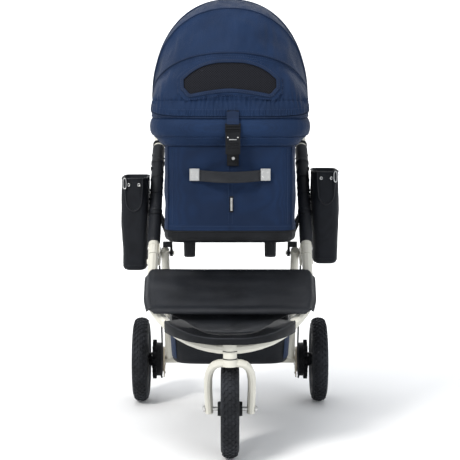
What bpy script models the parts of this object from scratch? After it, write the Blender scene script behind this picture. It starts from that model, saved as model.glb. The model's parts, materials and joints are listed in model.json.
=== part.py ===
"""Pet stroller: three air tyres, a folding tube frame and a lift-off carrier with a domed hood.

Metres, +Z up, the front is -Y, the floor is Z = 0. Left is -X and right is +X.
"""
import bpy
import bmesh
from math import cos, degrees, pi, radians, sin, tan
from mathutils import Vector

# ---------------------------------------------------------------- driving dimensions

GAP = 0.0003                      # left between touching pieces

TYRE_RADIUS = 0.120
TYRE_SIDES = 24
TYRE_WIDTH = 0.046
BEAD_RADIUS = 0.078
AXLE_RADIUS = 0.005
BORE_RADIUS = 0.0056
FRONT_AXLE = Vector((0, -0.365, TYRE_RADIUS))
REAR_AXLE_Y = 0.255
REAR_TRACK_HALF = 0.2535          # middle of a rear tyre

TUBE_RADIUS = 0.014
TUBE_X = 0.200                    # middle of a main tube at the fold
TUBE_X_TOP = 0.197
TUBE_END = Vector((0, -0.085, 0.461))
TUBE_SLOPE = 0.97                 # rise over run of the main tubes
KNUCKLE_Y = 0.360
SLEEVE_RADIUS = 0.017
SLEEVE_SPAN = (0.041, 0.385)      # along the tube from its lower end
CROSS_TUBE_Y = 0.245

PIN_RADIUS = 0.004
PIN_BORE = 0.0044
FRONT_PIN_DROP = 0.026            # below the tube's axis, square to it
REAR_PIN = (0.0366, 0.0341)       # along the tube, and below its axis
BRACKET_X = (0.1825, 0.1856)

LOOP_RADIUS = 0.0135
SWIVEL_Y = -0.425
LEG_RADIUS = 0.011
LEG_X = (0.171, 0.1735)

GRIP_RADIUS = 0.0155
BAR_RADIUS = 0.0125
BAR_Y, BAR_Z = 0.4695, 1.000
BAR_HALF = 0.185

BOX_HALF_X, BOX_HALF_Y, BOX_Y = 0.165, 0.2375, -0.0425
BOX_POWER = 9                     # how square the box's plan is
WALL = 0.005
PAN_Z = (0.516, 0.546)
BOX_Z = (0.5463, 0.7540)
FOOT_X, FOOT_YS, FOOT_LOW = 0.101, (-0.220, 0.135), 0.475
COLLAR_POWER = 5

HOOD_AXIS_Y, HOOD_AXIS_Z = -0.050, 0.864
HOOD_OUT = (0.1995, 0.2595)       # half width and height of the fabric's outer face
HOOD_IN = (0.1965, 0.2565)
HOOD_POWER = 2.2                  # round over the top
HEM_POWER = 5                     # squarer at the hem, as the collar is
BOW_ANGLES = {"top": -5, "mid": 28, "front": 63}
BOW_SIZES = {"top": (0.1875, 0.2475), "mid": (0.1910, 0.2510), "front": (0.1945, 0.2545)}
HEM_ANGLE = 98                    # the hood's lower edge, from upright
PANEL_GAP = 0.1                   # degrees left beside a seam
SEAM_STEP = 9                     # degrees between the hood's ribs

BUCKLE_X = 0.007
BAG_X, BAG_Y = 0.2545, 0.070

SIDES = (("left", -1), ("right", 1))


# ---------------------------------------------------------------- scene helpers

def clear_scene():
    for old in list(bpy.data.objects):
        bpy.data.objects.remove(old, do_unlink=True)


def material(name, color, roughness, metallic=0.0):
    made = bpy.data.materials.new(name)
    made.use_nodes = True
    shader = made.node_tree.nodes["Principled BSDF"]
    shader.inputs["Base Color"].default_value = (*color, 1)
    shader.inputs["Roughness"].default_value = roughness
    shader.inputs["Metallic"].default_value = metallic
    made.diffuse_color = (*color, 1)
    return made


class Body:
    """An empty on a joint's axis; the pieces that move together hang from it."""

    def __init__(self, name, pivot=(0, 0, 0), parent=None):
        self.pivot = Vector(pivot)
        self.empty = bpy.data.objects.new(name + "_axis", None)
        bpy.context.collection.objects.link(self.empty)
        if parent:
            self.empty.parent = parent.empty
            self.empty.location = self.pivot - parent.pivot
        else:
            self.empty.location = self.pivot


def add(name, bm, body, look):
    """Makes a named piece from a bmesh drawn in world places; its origin is its body's axis."""
    bmesh.ops.translate(bm, vec=-body.pivot, verts=bm.verts)
    mesh = bpy.data.meshes.new(name)
    bm.to_mesh(mesh)
    bm.free()
    mesh.shade_smooth()
    mesh.set_sharp_from_angle(angle=radians(35))
    piece = bpy.data.objects.new(name, mesh)
    bpy.context.collection.objects.link(piece)
    piece.parent = body.empty
    if look:
        mesh.materials.append(look)
    return piece


def combine(piece, bm, body, operation, name):
    """Joins, cuts or keeps what a tool has in common with a piece."""
    tool = add(name, bm, body, None)
    tool.hide_render = True
    tool.display_type = "WIRE"
    step = piece.modifiers.new(name, "BOOLEAN")
    step.operation = operation
    step.object = tool
    step.solver = "EXACT"


def bevel(piece, width, segments=1, angle=40):
    step = piece.modifiers.new("rounded_edges", "BEVEL")
    step.width = width
    step.segments = segments
    step.limit_method = "ANGLE"
    step.angle_limit = radians(angle)


# ---------------------------------------------------------------- shape helpers

def skin(loops, ring=False):
    """A closed skin over equal loops of points, capped at both ends unless it is a ring."""
    bm = bmesh.new()
    rows = [[bm.verts.new(point) for point in loop] for loop in loops]
    pairs = list(zip(rows, rows[1:]))
    if ring:
        pairs.append((rows[-1], rows[0]))
    for low, high in pairs:
        for i in range(len(low)):
            j = (i + 1) % len(low)
            bm.faces.new((low[i], low[j], high[j], high[i]))
    if not ring:
        bm.faces.new(rows[0])
        bm.faces.new(rows[-1])
    bmesh.ops.recalc_face_normals(bm, faces=bm.faces)
    return bm


def sheet(outer, inner):
    """A closed sheet between two grids of points, such as a fabric panel's two faces."""
    bm = bmesh.new()
    grids = [[[bm.verts.new(point) for point in row] for row in grid] for grid in (outer, inner)]
    rows, columns = len(outer), len(outer[0])
    for grid in grids:
        for i in range(rows - 1):
            for j in range(columns - 1):
                bm.faces.new((grid[i][j], grid[i + 1][j], grid[i + 1][j + 1], grid[i][j + 1]))
    rim = [(i, 0) for i in range(rows)] + [(rows - 1, j) for j in range(1, columns)]
    rim += [(i, columns - 1) for i in range(rows - 2, -1, -1)] + [(0, j) for j in range(columns - 2, 0, -1)]
    for (a, b), (c, d) in zip(rim, rim[1:] + rim[:1]):
        bm.faces.new((grids[0][a][b], grids[0][c][d], grids[1][c][d], grids[1][a][b]))
    bmesh.ops.recalc_face_normals(bm, faces=bm.faces)
    return bm


def box(low, high):
    """A box between two corners."""
    (x0, y0, z0), (x1, y1, z1) = low, high
    plan = ((x0, y0), (x1, y0), (x1, y1), (x0, y1))
    return skin([[(x, y, z) for x, y in plan] for z in (z0, z1)])


def prism_x(outline, x_low, x_high):
    """An outline of (y, z) points made solid between two places along X."""
    return skin([[(x, y, z) for y, z in outline] for x in (x_low, x_high)])


def frame_along(direction):
    """Two unit vectors square to a direction."""
    direction = direction.normalized()
    side = direction.cross(Vector((0, 0, 1)))
    if side.length < 0.01:
        side = direction.cross(Vector((0, 1, 0)))
    side.normalize()
    return side, side.cross(direction)


def circle(centre, direction, radius, count):
    side, up = frame_along(Vector(direction))
    centre = Vector(centre)
    turns = [2 * pi * (i + 0.5) / count for i in range(count)]
    return [centre + (side * cos(t) + up * sin(t)) * radius for t in turns]


def turned(origin, direction, stations, count=12):
    """A solid of revolution: stations are (distance along the axis, radius)."""
    unit = Vector(direction).normalized()
    origin = Vector(origin)
    return skin([circle(origin + unit * s, unit, r, count) for s, r in stations])


def hollow_turned(origin, direction, profile, count=12):
    """A ring of revolution: the profile is a closed outline of (distance along the axis, radius)."""
    unit = Vector(direction).normalized()
    origin = Vector(origin)
    return skin([circle(origin + unit * s, unit, r, count) for s, r in profile], ring=True)


def oval(half_x, half_y, power, centre_y, z, count=28, centre_x=0.0):
    """A rounded rectangle in plan; z is a height, or a function of the distance from its middle."""
    loop = []
    for i in range(count):
        t = 2 * pi * (i + 0.5) / count
        x = half_x * abs(cos(t)) ** (2 / power) * (1 if cos(t) > 0 else -1)
        y = half_y * abs(sin(t)) ** (2 / power) * (1 if sin(t) > 0 else -1)
        loop.append((centre_x + x, centre_y + y, z(y) if callable(z) else z))
    return loop


def rounded(points, radius, steps=5):
    """A route with each corner replaced by an arc of about the given radius."""
    points = [Vector(p) for p in points]
    route = [points[0]]
    for before, corner, after in zip(points, points[1:], points[2:]):
        back, ahead = (before - corner), (after - corner)
        turn = back.angle(ahead)
        reach = min(radius / tan(turn / 2), back.length * 0.49, ahead.length * 0.49)
        start, end = corner + back.normalized() * reach, corner + ahead.normalized() * reach
        for i in range(steps + 1):
            t = i / steps
            route.append(start * (1 - t) ** 2 + corner * 2 * t * (1 - t) + end * t ** 2)
    return route + [points[-1]]


def smooth_route(points, per_span):
    """Points read from one smooth curve through the route's own points."""
    points = [Vector(p) for p in points]
    padded = [points[0] * 2 - points[1]] + points + [points[-1] * 2 - points[-2]]
    route = []
    for a, b, c, d in zip(padded, padded[1:], padded[2:], padded[3:]):
        for i in range(per_span):
            t = i / per_span
            route.append(0.5 * (b * 2 + (c - a) * t + (a * 2 - b * 5 + c * 4 - d) * t ** 2
                                + (b * 3 - a - c * 3 + d) * t ** 3))
    return route + [points[-1]]


def tube(name, route, radius, body, look, resolution=4):
    """A bent tube or cable as a curve with filled ends."""
    curve = bpy.data.curves.new(name, "CURVE")
    curve.dimensions = "3D"
    curve.bevel_depth = radius
    curve.bevel_resolution = resolution
    curve.use_fill_caps = True
    spline = curve.splines.new("POLY")
    spline.points.add(len(route) - 1)
    for point, place in zip(spline.points, route):
        point.co = (*(Vector(place) - body.pivot), 1)
    piece = bpy.data.objects.new(name, curve)
    bpy.context.collection.objects.link(piece)
    piece.parent = body.empty
    curve.materials.append(look)
    return piece


def swept(route, radius, count=10):
    """A bent round bar as a bmesh, for a piece that takes Boolean cuts."""
    route = [Vector(p) for p in route]
    loops = []
    side = None
    for i, place in enumerate(route):
        ahead = route[min(i + 1, len(route) - 1)] - route[max(i - 1, 0)]
        ahead.normalize()
        side = frame_along(ahead)[0] if side is None else (side - ahead * side.dot(ahead)).normalized()
        up = side.cross(ahead)
        turns = [2 * pi * (k + 0.5) / count for k in range(count)]
        loops.append([place + (side * cos(t) + up * sin(t)) * radius for t in turns])
    return skin(loops)


def mirrored(points):
    """A route from the left end over the middle to the right, from its right half."""
    return [(-x, y, z) for x, y, z in points] + [p for p in reversed(points) if p[0] > 0]


# ---------------------------------------------------------------- places worked out from the sizes

TUBE_DIRECTION = Vector((0, 1, TUBE_SLOPE)).normalized()
TUBE_UNDER = Vector((0, TUBE_SLOPE, -1)).normalized()
TUBE_LENGTH = (KNUCKLE_Y - TUBE_END.y) / TUBE_DIRECTION.y
KNUCKLE = TUBE_END + TUBE_DIRECTION * TUBE_LENGTH
FRONT_PIVOT = TUBE_END + TUBE_UNDER * FRONT_PIN_DROP
REAR_PIVOT = TUBE_END + TUBE_DIRECTION * REAR_PIN[0] + TUBE_UNDER * REAR_PIN[1]
REAR_AXLE = Vector((0, REAR_AXLE_Y, TYRE_RADIUS))
LATCH_PIVOT = REAR_PIVOT
LEVER_PIVOT = Vector((0.100, 0.432, BAR_Z))
HOOD_AXIS = Vector((0, HOOD_AXIS_Y, HOOD_AXIS_Z))


def beside(point, x):
    return Vector((x, point.y, point.z))


def on_tube(along, under=0.0, x=0.0):
    """A place beside a main tube, from its lower end."""
    return beside(TUBE_END + TUBE_DIRECTION * along + TUBE_UNDER * under, x)


def tube_x(along):
    return TUBE_X + (TUBE_X_TOP - TUBE_X) * along / TUBE_LENGTH


def hood_power(angle):
    """How square the hood is across, at a lean from upright."""
    lean = (abs(degrees(angle)) - BOW_ANGLES["front"]) / (HEM_ANGLE - BOW_ANGLES["front"])
    lean = min(max(lean, 0), 1)
    return HOOD_POWER + (HEM_POWER - HOOD_POWER) * lean ** 2 * (3 - 2 * lean)


def hood_point(size, turn, angle):
    """A place on the domed hood: turn runs over the top from right to left, angle leans forward."""
    power = hood_power(angle)
    across, up = cos(turn), (sin(turn) if 0 < turn < pi - 1e-6 else 0.0)
    swell = (abs(across) ** power + up ** power) ** (-1 / power)
    reach = size[1] * up * swell
    return HOOD_AXIS + Vector((size[0] * across * swell, -reach * sin(angle), reach * cos(angle)))


def hood_reach(size, x, angle):
    """How far the hood stands from its axis at a place across it."""
    power = hood_power(angle)
    return size[1] * (1 - (abs(x) / size[0]) ** power) ** (1 / power)


# ---------------------------------------------------------------- main frame

def main_frame(frame, looks):
    for side, sign in SIDES:
        low = on_tube(GAP * 2, x=sign * tube_x(0))
        high = on_tube(TUBE_LENGTH - 0.0205, x=sign * tube_x(TUBE_LENGTH))
        length = (high - low).length
        piece = add(f"main_tube_{side}", turned(low, high - low, [(0, TUBE_RADIUS), (length, TUBE_RADIUS)]),
                    frame, looks["cream"])
        knuckle = turned(beside(KNUCKLE, sign * 0.1835), (sign, 0, 0), [(0, 0.019), (0.0130, 0.019)], 20)
        combine(piece, knuckle, frame, "UNION", f"tool_knuckle_{side}")
        neck = turned(on_tube(TUBE_LENGTH - 0.032, x=sign * 0.190), TUBE_DIRECTION,
                      [(0, 0.0055), (0.030, 0.0055)], 8)
        combine(piece, neck, frame, "UNION", f"tool_neck_{side}")
        pocket = turned(beside(KNUCKLE, sign * 0.180), (sign, 0, 0), [(0, 0.0088), (0.0085, 0.0088)], 16)
        combine(piece, pocket, frame, "DIFFERENCE", f"tool_pocket_{side}")

        start, end = SLEEVE_SPAN
        base, tip = on_tube(start, x=sign * tube_x(start)), on_tube(end, x=sign * tube_x(end))
        wall = [(0, 0.0150), (0, SLEEVE_RADIUS), (end - start, SLEEVE_RADIUS), (end - start, 0.0150)]
        add(f"tube_sleeve_{side}", hollow_turned(base, tip - base, wall), frame, looks["black_leather"])

        dock_arm(side, sign, frame, looks["black_plastic"])
        fold_bracket(side, sign, frame, looks["cream"])

    along = (CROSS_TUBE_Y - TUBE_END.y) / TUBE_DIRECTION.y
    half = tube_x(along) - TUBE_RADIUS - GAP
    add("rear_cross_tube", turned(on_tube(along, x=-half), (1, 0, 0), [(0, 0.0095), (2 * half, 0.0095)], 12),
        frame, looks["cream"])


def dock_arm(side, sign, frame, look):
    """A wedge from the tube's inner side to under the pan."""
    y_low, y_high = -0.012, 0.030
    sections = ((0.1822, 0.532, 0.562), (0.1675, 0.498, 0.532), (0.1662, 0.495, PAN_Z[0] - GAP * 2),
                (0.132, 0.496, PAN_Z[0] - GAP * 2))
    loops = [[(sign * x, y_low, z0), (sign * x, y_high, z0), (sign * x, y_high, z1), (sign * x, y_low, z1)]
             for x, z0, z1 in sections]
    bevel(add(f"dock_arm_{side}", skin(loops), frame, look), 0.002)


def fold_bracket(side, sign, frame, look):
    """The plate under a main tube's end that carries both fold pins."""
    outline = [(-0.009, 0.018), (0.004, 0.002), (0.004, -0.009), (0.034, -0.009), (0.036, 0.010),
               (0.050, 0.026),
               (0.050, 0.041), (0.038, 0.049), (0.022, 0.046), (-0.004, 0.038), (-0.011, 0.028)]
    shape = [on_tube(s, h) for s, h in outline]
    inner, outer = sorted((sign * BRACKET_X[0], sign * BRACKET_X[1]))
    piece = add(f"fold_bracket_{side}", prism_x([(p.y, p.z) for p in shape], inner, outer), frame, look)
    front_pin = turned(beside(FRONT_PIVOT, sign * 0.183), (sign, 0, 0),
                       [(0, PIN_RADIUS), (0.0310, PIN_RADIUS), (0.0310, 0.0075), (0.0345, 0.0065)], 12)
    combine(piece, front_pin, frame, "UNION", f"tool_front_pin_{side}")
    rear_pin = turned(beside(REAR_PIVOT, sign * 0.185), (-sign, 0, 0),
                      [(0, PIN_RADIUS), (0.0360, PIN_RADIUS), (0.0360, 0.0070), (0.0385, 0.0060)], 12)
    combine(piece, rear_pin, frame, "UNION", f"tool_rear_pin_{side}")


def side_bags(frame, looks):
    """An open pouch on each side; the right one hangs a little higher."""
    for (side, sign), lift in zip(SIDES, (0.0, 0.018)):
        sections = ((0.026, 0.066, 0.410), (0.034, 0.078, 0.420), (0.0365, 0.081, 0.540),
                    (0.0355, 0.080, 0.655),
                    (0.0325, 0.077, 0.655), (0.0335, 0.078, 0.540), (0.031, 0.075, 0.424),
                    (0.024, 0.064, 0.4145))
        loops = [oval(a, b, 5, BAG_Y, z + lift, 20, sign * BAG_X) for a, b, z in sections]
        add(f"side_bag_{side}", skin(loops), frame, looks["black_fabric"])


# ---------------------------------------------------------------- folding front frame

LOOP_ROUTE = [(0.2, -0.12, 0.427), (0.199, -0.19, 0.360), (0.186, -0.217, 0.333), (0.160, -0.240, 0.308),
              (0.138, -0.278, 0.2955), (0.098, -0.350, 0.286), (0.050, -0.405, 0.2815), (0, SWIVEL_Y, 0.280)]


def front_frame(front, looks):
    top = on_tube(-GAP * 2, x=TUBE_X)
    half = [tuple(top)] + LOOP_ROUTE
    route = smooth_route(mirrored(half), 2)
    piece = add("front_loop", swept(route, LOOP_RADIUS), front, looks["cream"])
    head = turned((0, SWIVEL_Y, 0.2555), (0, 0, 1), [(0, 0.0165), (0.019, 0.0165), (0.020, 0.0185),
                                                     (0.040, 0.0185)], 24)
    combine(piece, head, front, "UNION", "tool_head")
    stem_bore = turned((0, SWIVEL_Y, 0.250), (0, 0, 1), [(0, 0.0076), (0.0605, 0.0076)], 20)
    combine(piece, stem_bore, front, "DIFFERENCE", "tool_stem_bore")
    for side, sign in SIDES:
        eye = turned(beside(FRONT_PIVOT, sign * 0.187), (sign, 0, 0), [(0, 0.0095), (0.026, 0.0095)], 16)
        combine(piece, eye, front, "UNION", f"tool_eye_{side}")
        web = [on_tube(s, h) for s, h in ((-0.022, 0.006), (-0.003, 0.006), (-0.003, 0.022), (-0.006, 0.033))]
        bar = prism_x([(p.y, p.z) for p in web], *sorted((sign * 0.192, sign * 0.208)))
        combine(piece, bar, front, "UNION", f"tool_web_{side}")
        bore = turned(beside(FRONT_PIVOT, sign * 0.180), (sign, 0, 0), [(0, PIN_BORE), (0.040, PIN_BORE)], 12)
        combine(piece, bore, front, "DIFFERENCE", f"tool_bore_{side}")

    footboard(front, looks["black_plastic"])
    foot_mat(front, looks["black_leather"])
    apron(front, looks["black_leather"])


FOOTBOARD_OUTER = [(0.163, -0.276), (0.152, -0.312), (0.129, -0.362), (0.092, -0.420), (0.046, -0.452),
                   (0, -0.458)]
FOOTBOARD_INNER = [(0.124, -0.244), (0.112, -0.258), (0.096, -0.300), (0.070, -0.346), (0.036, -0.364),
                   (0, -0.368)]


def footboard(front, look):
    """A crescent board over the loop with a lip down its front."""
    loops = []
    outer = mirrored([(x, y, 0) for x, y in FOOTBOARD_OUTER])
    inner = mirrored([(x, y, 0) for x, y in FOOTBOARD_INNER])
    for (xo, yo, _), (xi, yi, _) in zip(outer, inner):
        rise = (max(0, abs(xo) - 0.050) / 0.113) ** 1.5
        top = 0.3085 + 0.012 * rise
        lip = top - 0.014 - 0.013 * rise
        out, back = Vector((xo, yo, 0)), Vector((xi, yi, 0))
        inward = (back - out).normalized() * 0.005
        plate = 0.0045
        loops.append([(xo, yo, top), (xo, yo, lip), (xo + inward.x, yo + inward.y, lip),
                      (xo + inward.x, yo + inward.y, top - plate), (xi, yi, top - plate), (xi, yi, top)])
    add("footboard", skin(loops), front, look)


def foot_mat(front, look):
    """The sling between the loop's sides, from under the apron to the footboard."""
    loops = []
    for y, half, z in ((-0.212, 0.150, 0.328), (-0.236, 0.120, 0.316), (-0.262, 0.104, 0.309),
                       (-0.300, 0.091, 0.303),
                       (-0.340, 0.068, 0.300), (-0.360, 0.030, 0.299)):
        loops.append([(-half, y, z - 0.002), (half, y, z - 0.002), (half, y, z + 0.001),
                      (-half, y, z + 0.001)])
    add("foot_mat", skin(loops), front, look)


def apron(front, look):
    """A padded leatherette panel laid over the loop's two sides and wrapped round them."""
    loops = []
    for along, half, lift in ((-0.066, 0.2168, 0.0), (-0.072, 0.2176, 0.001), (-0.150, 0.2185, 0.002),
                              (-0.186, 0.2095, 0.001), (-0.205, 0.190, 0.0)):
        face, back = -0.0236 - lift, -0.0176
        across = [(-half, 0.004), (-half + 0.003, face + 0.003), (-half + 0.012, face), (half - 0.012, face),
                  (half - 0.003, face + 0.003), (half, 0.004), (half - 0.0015, 0.004), (half - 0.0025, back),
                  (-half + 0.0025, back), (-half + 0.0015, 0.004)]
        if half < 0.2100:
            across = [(x, min(h, back)) for x, h in across]
        loops.append([tuple(on_tube(along, h, x)) for x, h in across])
    add("apron", skin(loops), front, look)


def fold_latches(latches, looks):
    """A sprung thumb latch on the inner end of each rear fold pin."""
    for side, sign in SIDES:
        body = latches[side]
        piece = add(f"fold_latch_{side}", turned(beside(LATCH_PIVOT, sign * 0.1505), (sign, 0, 0),
                                                 [(0, 0.0090), (0.0080, 0.0090)], 16), body,
                                                 looks["black_plastic"])
        y, z = LATCH_PIVOT.y, LATCH_PIVOT.z
        arm = prism_x([(y - 0.006, z), (y + 0.006, z), (y - 0.004, z + 0.031), (y - 0.022, z + 0.027)],
                      *sorted((sign * 0.1515, sign * 0.1575)))
        combine(piece, arm, body, "UNION", f"tool_latch_arm_{side}")
        knob = prism_x([(y - 0.022, z + 0.0175), (y - 0.003, z + 0.0195), (y - 0.003, z + 0.031),
                        (y - 0.022, z + 0.031)],
                       *sorted((sign * 0.1535, sign * 0.176)))
        combine(piece, knob, body, "UNION", f"tool_latch_knob_{side}")
        bore = turned(beside(LATCH_PIVOT, sign * 0.148), (sign, 0, 0), [(0, PIN_BORE), (0.014, PIN_BORE)], 12)
        combine(piece, bore, body, "DIFFERENCE", f"tool_latch_bore_{side}")


# ---------------------------------------------------------------- folding rear frame

def rear_frame(rear, pedal, looks):
    down = (REAR_AXLE - REAR_PIVOT).normalized()
    reach = (REAR_AXLE - REAR_PIVOT).length
    for side, sign in SIDES:
        top = beside(REAR_PIVOT - down * 0.012, sign * LEG_X[0])
        foot = beside(REAR_AXLE - down * 0.0125, sign * LEG_X[1])
        leg = add(f"rear_leg_{side}", turned(top, foot - top,
                                             [(0, LEG_RADIUS), ((foot - top).length, LEG_RADIUS)], 16),
                  rear, looks["cream"])
        bore = turned(beside(REAR_PIVOT, sign * 0.155), (sign, 0, 0), [(0, PIN_BORE), (0.034, PIN_BORE)], 12)
        combine(leg, bore, rear, "DIFFERENCE", f"tool_leg_bore_{side}")

        plate = [(0, 0.0062), (0, 0.036), (0.0065, 0.036), (0.0065, 0.0062)]
        arm_plate = add(f"brake_plate_{side}", hollow_turned(beside(REAR_AXLE, sign * 0.1858), (sign, 0, 0),
                                                             plate, 24),
                        rear, looks["bronze"])
        arm = box((min(sign * 0.1862, sign * 0.1892), 0.222, 0.074),
                  (max(sign * 0.1862, sign * 0.1892), 0.236, 0.112))
        combine(arm_plate, arm, rear, "UNION", f"tool_brake_arm_{side}")

        route = [(0.1935, 0.206, 0.0775), (0.1925, 0.176, 0.092), (0.1895, 0.160, 0.150),
                 (0.1885, 0.110, 0.245),
                 (0.1880, 0.055, 0.330), (0.1885, 0.015, 0.420), (0.1905, 0.018, 0.490),
                 (0.1940, 0.030, 0.543)]
        tube(f"brake_cable_{side}", smooth_route([(sign * x, y, z) for x, y, z in route], 2), 0.0025, rear,
             looks["black_plastic"], resolution=2)

    beam = [(-0.2745, AXLE_RADIUS), (-0.1850, AXLE_RADIUS), (-0.1850, 0.0110), (0.1850, 0.0110),
            (0.1850, AXLE_RADIUS),
            (0.2745, AXLE_RADIUS)]
    add("rear_axle_beam", turned(REAR_AXLE, (1, 0, 0), beam, 16), rear, looks["cream"])
    basket(rear, looks["black_fabric"])
    parking_pedal(pedal, looks["black_plastic"])


def basket(rear, look):
    """An open cloth tray between the front loop and the rear legs."""
    def ring(z, front_y, back_y, half, count=24):
        middle, length = (front_y + back_y) / 2, (back_y - front_y) / 2
        return oval(half, length, 6, middle, z, count)
    wall = 0.003
    loops = [ring(0.176, -0.095, 0.205, 0.148), ring(0.182, -0.105, 0.212, 0.153),
             ring(0.240, -0.148, 0.218, 0.1565),
             ring(0.296, -0.190, 0.222, 0.1575), ring(0.296, -0.190 + wall, 0.222 - wall, 0.1575 - wall),
             ring(0.240, -0.148 + wall, 0.218 - wall, 0.1565 - wall),
             ring(0.184, -0.105 + wall, 0.212 - wall, 0.153 - wall),
             ring(0.179, -0.095 + wall, 0.205 - wall, 0.148 - wall)]
    add("basket", skin(loops), rear, look)


def parking_pedal(pedal, look):
    clamp = [(-0.03, 0.0116), (-0.03, 0.0165), (0.03, 0.0165), (0.03, 0.0116)]
    piece = add("parking_pedal", hollow_turned(REAR_AXLE, (1, 0, 0), clamp, 20), pedal, look)
    y, z = REAR_AXLE.y, REAR_AXLE.z
    plate = prism_x([(y + 0.013, z - 0.003), (y + 0.080, z + 0.018), (y + 0.082, z + 0.025),
                     (y + 0.011, z + 0.009)],
                    -0.028, 0.028)
    combine(piece, plate, pedal, "UNION", "tool_pedal_plate")


# ---------------------------------------------------------------- wheels

def tyre_profile():
    crown = TYRE_RADIUS / cos(pi / TYRE_SIDES)        # so that the flats stand on the floor
    middle = (BEAD_RADIUS + crown) / 2
    half_height, half_width = (crown - BEAD_RADIUS) / 2, TYRE_WIDTH / 2
    turns = [2 * pi * i / 8 for i in range(8)]
    return [(half_width * sin(t), middle - half_height * cos(t)) for t in turns]


def wheel(name, centre, hub_half, body, looks):
    add(f"{name}_tyre", hollow_turned(centre, (1, 0, 0), tyre_profile(), TYRE_SIDES), body, looks["tyre"])
    inner = BEAD_RADIUS - 0.0008
    profile = [(-0.016, inner - 0.0015), (0, inner - 0.0035), (0.016, inner - 0.0015), (0.016, 0.067),
               (0.006, 0.063),
               (0.006, 0.021), (hub_half, 0.017), (hub_half, BORE_RADIUS), (-hub_half, BORE_RADIUS),
               (-hub_half, 0.017),
               (-0.006, 0.021), (-0.006, 0.063), (-0.016, 0.067)]
    rim = add(f"{name}_rim", hollow_turned(centre, (1, 0, 0), profile, 25), body, looks["black_plastic"])
    for i in range(5):
        middle = 2 * pi * i / 5
        corners = ((0.027, -0.38), (0.027, 0.38), (0.058, 0.45), (0.058, -0.45))
        window = [(centre[1] + r * sin(middle + t), centre[2] + r * cos(middle + t)) for r, t in corners]
        combine(rim, prism_x(window, centre[0] - 0.012, centre[0] + 0.012), body, "DIFFERENCE",
                f"tool_{name}_window_{i}")


def fork(swivel, looks):
    """An arched two-leg fork whose stem turns in the head tube."""
    leg = [(0.0505, FRONT_AXLE.y, FRONT_AXLE.z - 0.010), (0.0520, -0.374, 0.150), (0.0525, -0.395, 0.200),
           (0.0440, -0.416, 0.232), (0.0260, -0.4245, 0.2440), (0, SWIVEL_Y, 0.2445)]
    piece = add("fork", swept(smooth_route(mirrored(leg), 2), 0.0100), swivel, looks["cream"])
    crown = turned((0, SWIVEL_Y, 0.2375), (0, 0, 1), [(0, 0.019), (0.0172, 0.019)], 24)
    combine(piece, crown, swivel, "UNION", "tool_crown")
    stem = turned((0, SWIVEL_Y, 0.245), (0, 0, 1), [(0, 0.0070), (0.0540, 0.0070)], 20)
    combine(piece, stem, swivel, "UNION", "tool_stem")
    bore = turned((-0.07, FRONT_AXLE.y, FRONT_AXLE.z), (1, 0, 0), [(0, BORE_RADIUS), (0.14, BORE_RADIUS)], 12)
    combine(piece, bore, swivel, "DIFFERENCE", "tool_fork_bore")
    axle = [(-0.0655, 0.0065), (-0.0620, 0.0085), (-0.0613, 0.0085), (-0.0613, AXLE_RADIUS),
            (0.0613, AXLE_RADIUS),
            (0.0613, 0.0085), (0.0620, 0.0085), (0.0655, 0.0065)]
    add("front_axle", turned(FRONT_AXLE, (1, 0, 0), axle, 12), swivel, looks["steel"])


def rear_wheel(side, sign, body, looks):
    centre = beside(REAR_AXLE, sign * REAR_TRACK_HALF)
    wheel(f"rear_{side}", centre, 0.020, body, looks)
    teeth, count = 18, 54
    origin = beside(REAR_AXLE, 0)

    def ring(x, radius, tooth=0.0):
        points = []
        for i in range(count):
            t = 2 * pi * i / count
            reach = radius + (tooth if i % (count // teeth) < 1 else 0.0)
            points.append((sign * x, origin.y + reach * sin(t), origin.z + reach * cos(t)))
        return points
    loops = [ring(0.1938, BORE_RADIUS), ring(0.1938, 0.046), ring(0.2090, 0.0475),
             ring(0.2105, 0.0490, 0.0075),
             ring(0.2205, 0.0490, 0.0075), ring(0.2210, 0.020), ring(0.2325, 0.018),
             ring(0.2325, BORE_RADIUS)]
    add(f"parking_disc_{side}", skin(loops, ring=True), body, looks["black_plastic"])


# ---------------------------------------------------------------- handle

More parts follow.
